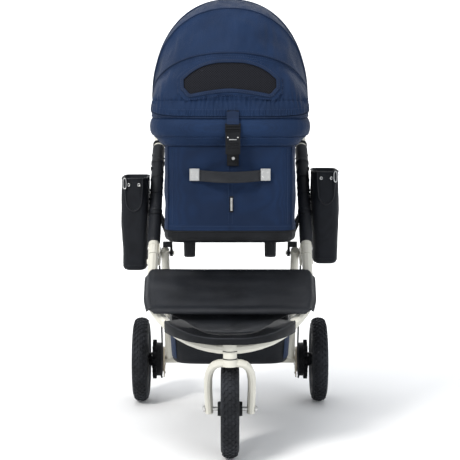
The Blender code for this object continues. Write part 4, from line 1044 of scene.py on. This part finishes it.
def side_bags():
    """The pouches: rumpled cloth, a piped U opening, eyelets and a ring with its clip."""
    for (side, sign), lift in zip(SIDES, (0.0, 0.018)):
        x_middle, y_middle = sign * 0.2545, 0.070
        sections = [(0.4100, 0.0240, 0.0640), (0.4130, 0.0300, 0.0720), (0.4200, 0.0335, 0.0772)]
        for z in spread(0.430, 0.652, 26):
            full, narrow = smoothstep(0.42, 0.54, z), 0.0010 * smoothstep(0.54, 0.655, z)
            sections.append((z, 0.0335 + 0.0030 * full - narrow, 0.0775 + 0.0035 * full - narrow))
        turns = oval_turns(96)

        def ring(z, a, b, loose=1.0):
            row = []
            for turn in turns:
                place, out = oval(turn, a, b, 5, y_middle, z + lift)
                place.x += x_middle
                rumple = 0.0026 * ripple((place.x, place.y, place.z * 0.6), 0.06, sign)
                rumple += 0.0010 * ripple(place, 0.02, 2)
                row.append(place + out * (rumple * loose - 0.0006))
            return row
        rows = [ring(z, a, b, 0.2 + 0.8 * smoothstep(0.415, 0.45, z)) for z, a, b in sections]
        rows += [ring(z, 0.0340 + more, 0.0785 + more, 0.6) for z, more in (
            (0.655, 0.0012), (0.6560, 0.0), (0.6545, -0.0015))]
        inner = [ring(z, a - 0.003, b - 0.003, 0.8) for z, a, b in reversed(sections[2:-1:3])]
        floor = [[Vector((x_middle, y_middle, 0.4150 + lift))] * len(turns)]
        under = [[Vector((x_middle, y_middle, 0.4098 + lift))] * len(turns)]
        bag = Piece(f"pouch_{side}").grid(under + rows + inner + floor, around=True)
        bag.make("cloth", "frame", replaces=[f"side_bag_{side}"], smooth=60)
        rim = ring(0.6560, 0.0350, 0.0795, 0.6)
        edge = Piece(f"pouch_rim_{side}").tube(rim, 0.0021, sides=8, closed=True)
        edge.make("leather", "frame", slot="black_fabric")
        front = y_middle - 0.0812
        u_shape = ((-0.0240, 0.656), (-0.0225, 0.620), (-0.0180, 0.585), (0.0, 0.570), (0.0180, 0.585),
                   (0.0225, 0.620), (0.0240, 0.656))
        u_line = curve_through([(x_middle + x, front - 0.0004, z + lift) for x, z in u_shape])
        piping = Piece(f"pouch_piping_{side}").tube(u_line, 0.0017, sides=8)
        piping.make("leather", "frame", slot="black_fabric")
        thread = Piece(f"pouch_stitches_{side}")
        inside = [p + Vector(((x_middle - p.x) * 0.16, -0.0004, 0.004)) for p in u_line]
        thread.stitches(inside, (0, -1, 0), 0.0034, 0.0024)
        for z in (0.425, 0.646):
            line = ring(z, 0.0362, 0.0808, 0.8)
            centre = Vector((x_middle, y_middle, z + lift))
            thread.stitches(line, [p - centre for p in line], 0.0034, 0.0024)
        thread.make("thread_dark", "frame", slot="black_fabric")
        metal = Piece(f"pouch_metal_{side}")
        eyelet = [(-0.0005, 0.0042), (0.0008, 0.0042), (0.0014, 0.0034), (0.0008, 0.0022), (-0.0005, 0.0020)]
        for x in (-0.0135, 0.0135):
            metal.turned((x_middle + x, front - 0.0006, 0.640 + lift), (0, -1, 0), eyelet, 20, whole=False)
        hook_shape = ((0.0200, 0.652), (0.0200, 0.636), (0.0235, 0.630), (0.0275, 0.634), (0.0275, 0.652),
                      (0.0240, 0.658))
        hook = [(x_middle + sign * x, front - 0.0032, z + lift) for x, z in hook_shape]
        metal.tube(curve_through(hook, 6, closed=True), 0.0014, sides=8, closed=True)
        metal.make("steel", "frame")
        strap = Piece(f"pouch_strap_{side}")
        for along in (0.150, 0.325):
            centre = on_tube(along, 0, sign * tube_x(along))
            loop = [Vector((out.x * 0.0178, out.y * 0.0182, out.z * 0.0182)) for out in round_tube(24)]
            strap.tube([centre + out for out in loop], 0.0062, 8, closed=True, flat=0.16, up=loop)
        strap.make("leather", "frame")


def apron():
    """The padded leatherette panel over the front loop, with rolled edges and side wraps."""
    spans = [(-0.0662, 0.2120, 0.0), (-0.0695, 0.2160, 0.0006), (-0.0740, 0.2174, 0.0012)]
    spans += [(-s, 0.2180 - 0.0075 * smoothstep(0.14, 0.19, s), 0.0020) for s in spread(0.082, 0.1860, 15)]
    spans += [(-0.1900, 0.2090, 0.0026), (-0.1950, 0.2060, 0.0036), (-0.2000, 0.2000, 0.0036),
              (-0.2040, 0.1930, 0.0016), (-0.2048, 0.1905, -0.0008)]
    rows = []
    for along, half, lift in spans:
        row = []
        for s in spread(-1, 1, 121):
            x, face = half * s, -0.0236 - lift
            wrap = smoothstep(0.925, 1.0, abs(s)) * (1 - smoothstep(0.183, 0.193, -along))
            sag = 0.0024 * (1 - s * s) if -0.189 < along < -0.077 else 0
            crease = 0.0016 * ripple((x * 0.6, along * 3, 0), 0.06) * (1 - wrap)
            crease += 0.0016 * ripple((x, along, 1), 0.03) * smoothstep(0.70, 0.92, abs(s)) * (1 - wrap)
            groove = 0.0012 * peak(abs(s) - 0.915, 0.010)
            row.append(on_tube(along, face + sag + crease + groove + wrap * 0.0265, x))
        rows.append(row)
    cover = Piece("apron_cover").grid(rows)
    cover.make("leather", "front_frame", thick=-0.0022, replaces=["apron"], smooth=60)
    thread = Piece("apron_stitches")
    for along in (-0.0765, -0.1880):
        route = [on_tube(along, -0.0262 + 0.0020 * (1 - s * s), 0.196 * s) for s in spread(-1, 1, 90)]
        thread.stitches(route, -TUBE_UNDER, 0.0040, 0.0028)
    for sign in (-1, 1):
        for x in (0.1965, 0.2015):
            route = [on_tube(-s, -0.0262, sign * x) for s in spread(0.080, 0.184, 30)]
            thread.stitches(route, -TUBE_UNDER, 0.0040, 0.0028)
    thread.make("thread_dark", "front_frame")


def foot_sling():
    """The sling behind the footboard: a taut sheet with a stitched edge."""
    spans = ((-0.212, 0.150, 0.329), (-0.236, 0.120, 0.317), (-0.262, 0.104, 0.310), (-0.300, 0.091, 0.304),
             (-0.340, 0.068, 0.301), (-0.360, 0.030, 0.300))
    line = curve_through([Vector(span) for span in spans], 6)
    rows, area = [], 0.0
    for y, half, z in line:
        row = []
        for s in spread(-1, 1, 41):
            sag = 0.0008 * ripple((half * s, y, 0), 0.03) - 0.004 * (1 - s * s)
            row.append((half * s, y, z + sag))
        rows.append(row)
    for (y0, half0, z0), (y1, half1, z1) in zip(line, line[1:]):
        area += (half0 + half1) * Vector((0, y1 - y0, z1 - z0)).length
    made = Piece("foot_sling").grid(rows).make("leather", "front_frame", thick=0.0018, replaces=["foot_mat"])
    thread = Piece("foot_sling_stitches")
    for sign in (-1, 1):
        route = [(sign * (half - 0.005), y, z - 0.0006) for y, half, z in line if half > 0.05]
        thread.stitches(route, (0, 0, 1), 0.0036, 0.0026)
    made_thread = thread.make("thread_dark", "front_frame")


def basket():
    """The lower tray: cloth walls that belly a little, navy panels at its front corners and a bound rim."""
    levels = [(0.176, -0.095, 0.205, 0.148), (0.179, -0.100, 0.209, 0.151), (0.182, -0.105, 0.212, 0.153)]
    for z in spread(0.190, 0.294, 16):
        share = (z - 0.182) / (0.296 - 0.182)
        levels.append((z, -0.105 - 0.085 * share, 0.212 + 0.010 * share, 0.153 + 0.0045 * share ** 0.6))
    turns = oval_turns(160)

    def ring(level, inside=0.0, loose=1.0):
        z, front, back, half = level
        row = []
        for turn in turns:
            place, out = oval(turn, half - inside, (back - front) / 2 - inside, 6, (front + back) / 2, z)
            belly = -0.0035 * sin(pi * min(max((z - 0.178) / 0.118, 0), 1)) * abs(out.y) ** 2
            rumple = 0.0024 * ripple((place.x, place.y, place.z * 1.6), 0.07, 3)
            rumple += 0.0009 * ripple(place, 0.022, 5)
            row.append(place + out * ((rumple - 0.0010) * loose + belly))
        return row
    outer = [ring(level, 0, smoothstep(0.176, 0.19, level[0])) for level in levels]
    inner = [ring(level, 0.003, smoothstep(0.176, 0.19, level[0])) for level in reversed(levels[2::3])]
    under = [[Vector((0, 0.055, 0.1757))] * len(turns)]
    floor = [[Vector((0, 0.055, 0.1790))] * len(turns)]
    tray = Piece("basket_cloth").grid(under + outer + inner + floor, around=True)
    made = tray.make("cloth", replaces=["basket"], smooth=60)
    rim_line = ring((0.2955, -0.190, 0.222, 0.1575), 0.0012, 0.4)
    rim = Piece("basket_rim").tube(rim_line, 0.0030, closed=True).make("leather", slot="black_fabric")
    panels = Piece("basket_corners")
    for sign in (-1, 1):
        rows = []
        for z, front, back, half in levels[3:]:
            row = []
            for t in spread(0.0, 1.0, 16):
                turn = -atan(((back - front) / 2) / half) * (0.985 - 0.90 * t)
                place, out = oval(turn, half, (back - front) / 2, 6, (front + back) / 2, z)
                row.append(Vector((sign * place.x, place.y, z)) + Vector((sign * out.x, out.y, 0)) * 0.0012)
            rows.append(row)
        panels.grid(rows)
    corners = panels.make("navy", thick=0.0010)
    thread = Piece("basket_stitches")
    for level in ((0.2870, -0.1835, 0.2215, 0.1572), (0.2840, -0.1812, 0.2212, 0.1571)):
        line = ring(level)
        thread.stitches(line, [p - Vector((0, 0.02, level[0])) for p in line], 0.0036, 0.0026)
    stitches = thread.make("thread_dark", slot="black_fabric")
    # The tray's pieces ride on the rear legs, each with a mesh of its own.
    for piece in (made, rim, corners, stitches):
        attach(piece, "rear_frame")
        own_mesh(piece)


# ---------------------------------------------------------------- wheels

# Each wheel's name, its body and the sides on which its hub shows.
WHEELS = (("front", "front_wheel", (-1, 1)), ("rear_left", "rear_wheel_left", (-1,)),
          ("rear_right", "rear_wheel_right", (1,)))
CARCASS_RADIUS, CARCASS_HALF, BEAD_RADIUS = 0.1170, 0.0224, 0.078
TREAD_BLOCKS = 44
# Tread blocks of one pitch: across, share of the pitch, half width, half length, slant.
TREAD = ((0.0, 0.0, 0.0030, 0.0036, 0.0), (0.0075, 0.5, 0.0030, 0.0040, 0.25),
         (-0.0075, 0.5, 0.0030, 0.0040, -0.25), (0.0148, 0.0, 0.0032, 0.0044, 0.5),
         (-0.0148, 0.0, 0.0032, 0.0044, -0.5))
RIM_LIP = ((0.0150, 0.0710), (0.0172, 0.0735), (0.0176, 0.0775), (0.0160, 0.0792), (0.0140, 0.0780),
           (0.0140, 0.0715), (0.0150, 0.0710))
HUB_RING = ((0.0060, 0.0240), (0.0085, 0.0240), (0.0100, 0.0222), (0.0100, 0.0205), (0.0060, 0.0200))


def round_axle(radius, turn):
    """A place round a wheel's axle, at a turn forward of the top."""
    return Vector((0, radius * sin(turn), radius * cos(turn)))


def tread_block(tread, centre, turn, across, half_x, half_run, slant):
    """Adds one block that stands on the carcass."""
    middle, half_height = (BEAD_RADIUS + CARCASS_RADIUS) / 2, (CARCASS_RADIUS - BEAD_RADIUS) / 2
    tilt = asin(across / CARCASS_HALF)
    up, along = round_axle(1, turn), round_axle(1, turn + pi / 2)
    out = (up * cos(tilt) + Vector((1, 0, 0)) * sin(tilt)).normalized()
    twist = Matrix.Rotation(slant, 3, out)
    block = Matrix((twist @ along.cross(out), twist @ along, out)).transposed()
    place = centre + up * (middle + half_height * cos(tilt)) + Vector((across, 0, 0)) + out * 0.0006
    tread.box(place, (half_x, half_run, 0.0021), block)


def tyres():
    """Air tyres: a round carcass, ribbed sidewalls and staggered tread blocks."""
    middle, half_height = (BEAD_RADIUS + CARCASS_RADIUS) / 2, (CARCASS_RADIUS - BEAD_RADIUS) / 2
    profile = []
    for k in range(49):
        turn = 2 * pi * k / 48
        across, out = CARCASS_HALF * sin(turn), middle - half_height * cos(turn)
        ridge = 0.0009 * peak(out - 0.0865, 0.0012) + 0.0007 * peak(out - 0.1020, 0.0010)
        profile.append((across + (ridge if across > 0 else -ridge), out))
    for name, body, hub_sides in WHEELS:
        low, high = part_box(f"{name}_tyre")
        centre = (low + high) / 2
        carcass = Piece(f"{name}_carcass").turned(centre, (1, 0, 0), profile, 96, whole=False)
        carcass.make("tyre", body, replaces=[f"{name}_tyre"], smooth=50)
        tread = Piece(f"{name}_tread")
        for i in range(TREAD_BLOCKS):
            for across, shift, *shape in TREAD:
                tread_block(tread, centre, 2 * pi * (i + shift) / TREAD_BLOCKS, across, *shape)
        tread.make("tyre", body, bevel=0.0006)
        valve = Piece(f"{name}_valve")
        ends = ((0.0045, 0.058), (0.0075, 0.046))
        stem = [centre + Vector((x, 0, 0)) + round_axle(radius, 0.63) for x, radius in ends]
        valve.tube(stem, 0.0024, sides=12).make("tyre", body)
        lips = Piece(f"{name}_rim_lips")
        for sign in (-1, 1):
            lips.turned(centre, (sign, 0, 0), RIM_LIP, 72, whole=False)
        lips.make("plastic", body)
        hub = Piece(f"{name}_hub_rings")
        for sign in hub_sides:
            hub.turned(centre, (sign, 0, 0), HUB_RING, 40, whole=False)
            for k in range(5):
                spot = centre + Vector((sign * 0.0058, 0, 0)) + round_axle(0.0440, 2 * pi * (k + 0.5) / 5)
                hub.turned(spot, (sign, 0, 0), [(0, 0.0042), (0.0014, 0.0040), (0.0020, 0.0026)], 12)
        hub.make("plastic", body)


def hubs():
    """Bolts and rings on the drums, back-plates and the front axle."""
    for side, sign in SIDES:
        drum = Piece(f"drum_bolts_{side}")
        for k in range(6):
            spot = REAR_AXLE + Vector((sign * 0.2208, 0, 0)) + round_axle(0.0335, 2 * pi * k / 6)
            drum.turned(spot, (sign, 0, 0), [(0, 0.0036), (0.0016, 0.0036), (0.0020, 0.0028)], 6)
        drum.make("steel", f"rear_wheel_{side}", bevel=0.0003)
        fins = Piece(f"drum_fins_{side}")
        for x in (0.1965, 0.1995, 0.2025, 0.2055):
            fin = [(-0.0006, 0.0462), (-0.0005, 0.0484), (0.0005, 0.0484), (0.0006, 0.0462)]
            fins.turned(REAR_AXLE + Vector((sign * x, 0, 0)), (sign, 0, 0), fin, 72, whole=False)
        fins.make("plastic", f"rear_wheel_{side}")
        plate = Piece(f"plate_bolts_{side}")
        for y, z in ((-0.020, -0.018), (0.020, -0.018), (0.0, 0.027)):
            bolt = [(0, 0.0034), (0.0016, 0.0034), (0.0022, 0.0024)]
            plate.turned(REAR_AXLE + Vector((sign * 0.1860, y, z)), (-sign, 0, 0), bolt, 6)
        plate.turned(REAR_AXLE + Vector((sign * 0.1862, -0.026, -0.034)), (-sign, 0, 0), [
            (0, 0.0030), (0.0026, 0.0030), (0.0030, 0.0022)], 14)
        plate.make("steel", "rear_frame", bevel=0.0003)
    nuts = Piece("front_axle_nuts")
    low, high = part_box("front_axle")
    for sign, x in ((-1, low[0]), (1, high[0])):
        nuts.turned((x + sign * 0.0002, FRONT_AXLE.y, FRONT_AXLE.z), (sign, 0, 0), [
            (-0.0022, 0.0078), (0.0004, 0.0078), (0.0010, 0.0068), (0.0010, 0.0040), (0.0026, 0.0036)], 6)
    nuts.make("steel", "fork", bevel=0.0004)


def collar_section(half, inner, outer, edge=0.0):
    """The section of a thin ring; edge tapers its rim."""
    return ((-half - edge, inner), (-half, outer), (half, outer), (half + edge, inner))


def tube_details():
    """Bolts, collars and rings on the main tubes and the handle's knuckles."""
    bolt = ((-0.0010, 0.0046), (0.0012, 0.0046), (0.0020, 0.0036), (0.0020, 0.0018), (0.0008, 0.0016))
    cap = ((-0.0010, 0.0066), (0.0010, 0.0066), (0.0018, 0.0054), (0.0018, 0.0030), (0.0008, 0.0028))
    steel, black, cream = Piece("frame_bolts"), Piece("frame_collars"), Piece("frame_rings")
    for _, sign in SIDES:
        outward = Vector((sign, 0, 0))
        for ring, along, half, inner, outer in (
            (black, 0.395, 0.004, 0.0142, 0.0162), (cream, 0.030, 0.0012, 0.0139, 0.0150),
        ):
            centre = on_tube(along, 0, sign * tube_x(along))
            ring.turned(centre, TUBE_DIRECTION, collar_section(half, inner, outer), whole=False)
        steel.turned(on_tube(0.402, -0.0135, sign * tube_x(0.402)), -TUBE_UNDER, bolt, 20)
        steel.turned(on_tube(0.024, 0, sign * tube_x(0.024)) + outward * 0.0136, outward, bolt, 20)
        steel.turned((sign * 0.1968, KNUCKLE.y, KNUCKLE.z), outward, cap, 24)
    steel.make("steel", "frame")
    black.make("plastic", "frame", smooth=30)
    cream.make("cream", "frame", smooth=30)


def caster_details():
    """Seals between the head tube and the fork."""
    head = Piece("head_seals")
    for z, radius in ((0.2560, 0.0176), (0.2750, 0.0194), (0.2945, 0.0190)):
        section = collar_section(0.0008, radius - 0.002, radius, 0.0002)
        head.turned((SWIVEL.x, SWIVEL.y, z), (0, 0, 1), section, 48, whole=False)
    head.make("plastic", "front_frame", smooth=30)
    seal = Piece("fork_seal")
    seal.turned((SWIVEL.x, SWIVEL.y, 0.2500), (0, 0, 1), collar_section(0.0020, 0.0100, 0.0158, 0.0002), 48)
    seal.make("plastic", "fork", smooth=30)


# The crescent footboard: half of each edge, from its tip to the middle.
BOARD_OUTER = ((0.163, -0.276), (0.152, -0.312), (0.129, -0.362), (0.092, -0.420), (0.046, -0.452),
               (0, -0.458))
BOARD_INNER = ((0.124, -0.244), (0.112, -0.258), (0.096, -0.300), (0.070, -0.346), (0.036, -0.364),
               (0, -0.368))
BOARD_TOP = 0.3085


def board_rise(x):
    """The board curls up towards its tips: nothing in the middle, one at a tip."""
    return (max(0, abs(x) - 0.050) / 0.113) ** 1.5


def board_edge(half, inset, lift):
    """A line over the board, set in from an edge towards its middle."""
    right = [Vector((x, y, BOARD_TOP + 0.012 * board_rise(x) + lift)) for x, y in half]
    line = right + [Vector((-p.x, p.y, p.z)) for p in right[-2::-1]]
    centre = Vector((0, -0.300, 0.31))
    return curve_through([p + (centre - p).normalized() * inset for p in line])


def footboard():
    """The crescent board, smooth along its lip, with its edging, grip lines and rivets."""
    whole = [curve_through([(-x, y, 0) for x, y in half] + [(x, y, 0) for x, y in half[-2::-1]], 10)
             for half in (BOARD_OUTER, BOARD_INNER)]
    rows = []
    for out, back in zip(*whole):
        rise = board_rise(out.x)
        top = BOARD_TOP + 0.012 * rise
        lip = top - 0.014 - 0.013 * rise
        inward, up = (back - out).normalized(), Vector((0, 0, 1))
        edge = out + inward * 0.0048
        rows.append([
            out + up * (top - 0.0015), out + up * lip, edge + up * lip, edge + up * (top - 0.0045),
            back + up * (top - 0.0045), back + up * (top - 0.0008), back - inward * 0.0010 + up * top,
            out + inward * 0.0040 + up * top, out + inward * 0.0012 + up * (top - 0.0004),
        ])
    board = Piece("board_shell").grid(rows, around=True)
    tip = range(len(rows[0]))
    board.faces += [list(tip), [len(board.points) - 1 - k for k in tip]]
    board.make("plastic", "front_frame", replaces=["footboard"], smooth=45)
    edging = Piece("board_edging")
    edging.tube(board_edge(BOARD_OUTER, 0.0030, 0.0002), 0.0022)
    edging.tube(board_edge(BOARD_INNER, -0.0030, 0.0002), 0.0016)
    edging.make("leather", "front_frame", slot="black_plastic")
    grip = Piece("board_grip")
    for inset in (0.014, 0.022, 0.030, 0.038, 0.046):
        grip.tube(board_edge(BOARD_OUTER[1:], inset, -0.0002)[6:-6], 0.0011, sides=6)
    grip.make("plastic", "front_frame")
    rivets = Piece("board_rivets")
    for sign in (-1, 1):
        for x, y in ((0.144, -0.281), (0.126, -0.262)):
            spot = (sign * x, y, BOARD_TOP + 0.012 * board_rise(x))
            rivets.turned(spot, (0, 0, 1), [(-0.0005, 0.0034), (0.0010, 0.0032), (0.0018, 0.0018)], 18)
    rivets.make("steel", "front_frame")


def pan_details():
    """The bead round the pan's rim and the pads under its feet."""
    rim = [box_wall(t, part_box("carrier_pan")[1][2] - 0.0025, 0.0012)[0] for t in oval_turns(200)]
    Piece("pan_rim").tube(rim, 0.0014, sides=8, closed=True).make("plastic", "carrier")
    feet = Piece("foot_pads")
    for x in (-0.101, 0.101):
        for y in (-0.220, 0.135):
            pad = [(-0.0004, 0.0100), (0.0004, 0.0136), (0.0042, 0.0146), (0.0050, 0.0138)]
            feet.turned((x, y, 0.4755), (0, 0, 1), pad)
    feet.make("tyre", "carrier", slot="black_plastic")


def handle_details():
    """Rings at the ends of the handle's grip and the seam along it."""
    low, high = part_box("handle_grip")
    middle = (low + high) / 2
    rings = Piece("grip_rings")
    for x in (low[0] + 0.001, low[0] + 0.006, high[0] - 0.006, high[0] - 0.001):
        section = collar_section(0.0010, 0.0148, 0.0163, 0.0002)
        rings.turned((x, middle.y, middle.z), (1, 0, 0), section, 40, whole=False)
    rings.make("leather", "handle")
    thread = Piece("grip_stitches")
    route = [(x, middle.y, middle.z + 0.0156) for x in spread(low[0] + 0.008, high[0] - 0.008, 60)]
    thread.stitches(route, (0, 0, 1), 0.0040, 0.0026)
    thread.make("thread_dark", "handle")


def brake_cables():
    """The drum brake cables, left unattached, with a steel end of each on the rear legs."""
    places = ((0.1935, 0.206, 0.0775), (0.1925, 0.176, 0.092), (0.1895, 0.160, 0.150), (0.1885, 0.110, 0.245),
              (0.1880, 0.055, 0.330), (0.1885, 0.015, 0.420), (0.1905, 0.018, 0.490), (0.1940, 0.030, 0.543))
    for side, sign in SIDES:
        route = curve_through([(sign * x, y, z) for x, y, z in places], 8)
        cable = Piece(f"cable_{side}").tube(route, 0.0025, sides=12)
        made = cable.make("cable", slot="black_plastic", replaces=[f"brake_cable_{side}"])
        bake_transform(made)
        ends = Piece(f"cable_ends_{side}")
        ends.tube(route[:3], 0.0034, sides=12)
        ends.make("steel", "rear_frame")


# ---------------------------------------------------------------- the frame's own parts

def dress_frame():
    """Materials for the CAD parts that stay visible, by their material slots."""
    looks = {slot: look for slot, look in reversed(PALETTE.values())}
    for part in frame["record"]["subparts"]:
        materials = frame["nodes"][part["node"]].data.materials
        materials.clear()
        materials.append(looks[part["material_slot"]].made)


studio()
brake_cables()
hood()
collar()
carrier_box()
carry_strap()
front_buckle()
cushion()
sleeves()
side_bags()
apron()
foot_sling()
basket()
tyres()
hubs()
tube_details()
caster_details()
footboard()
pan_details()
handle_details()
dress_frame()
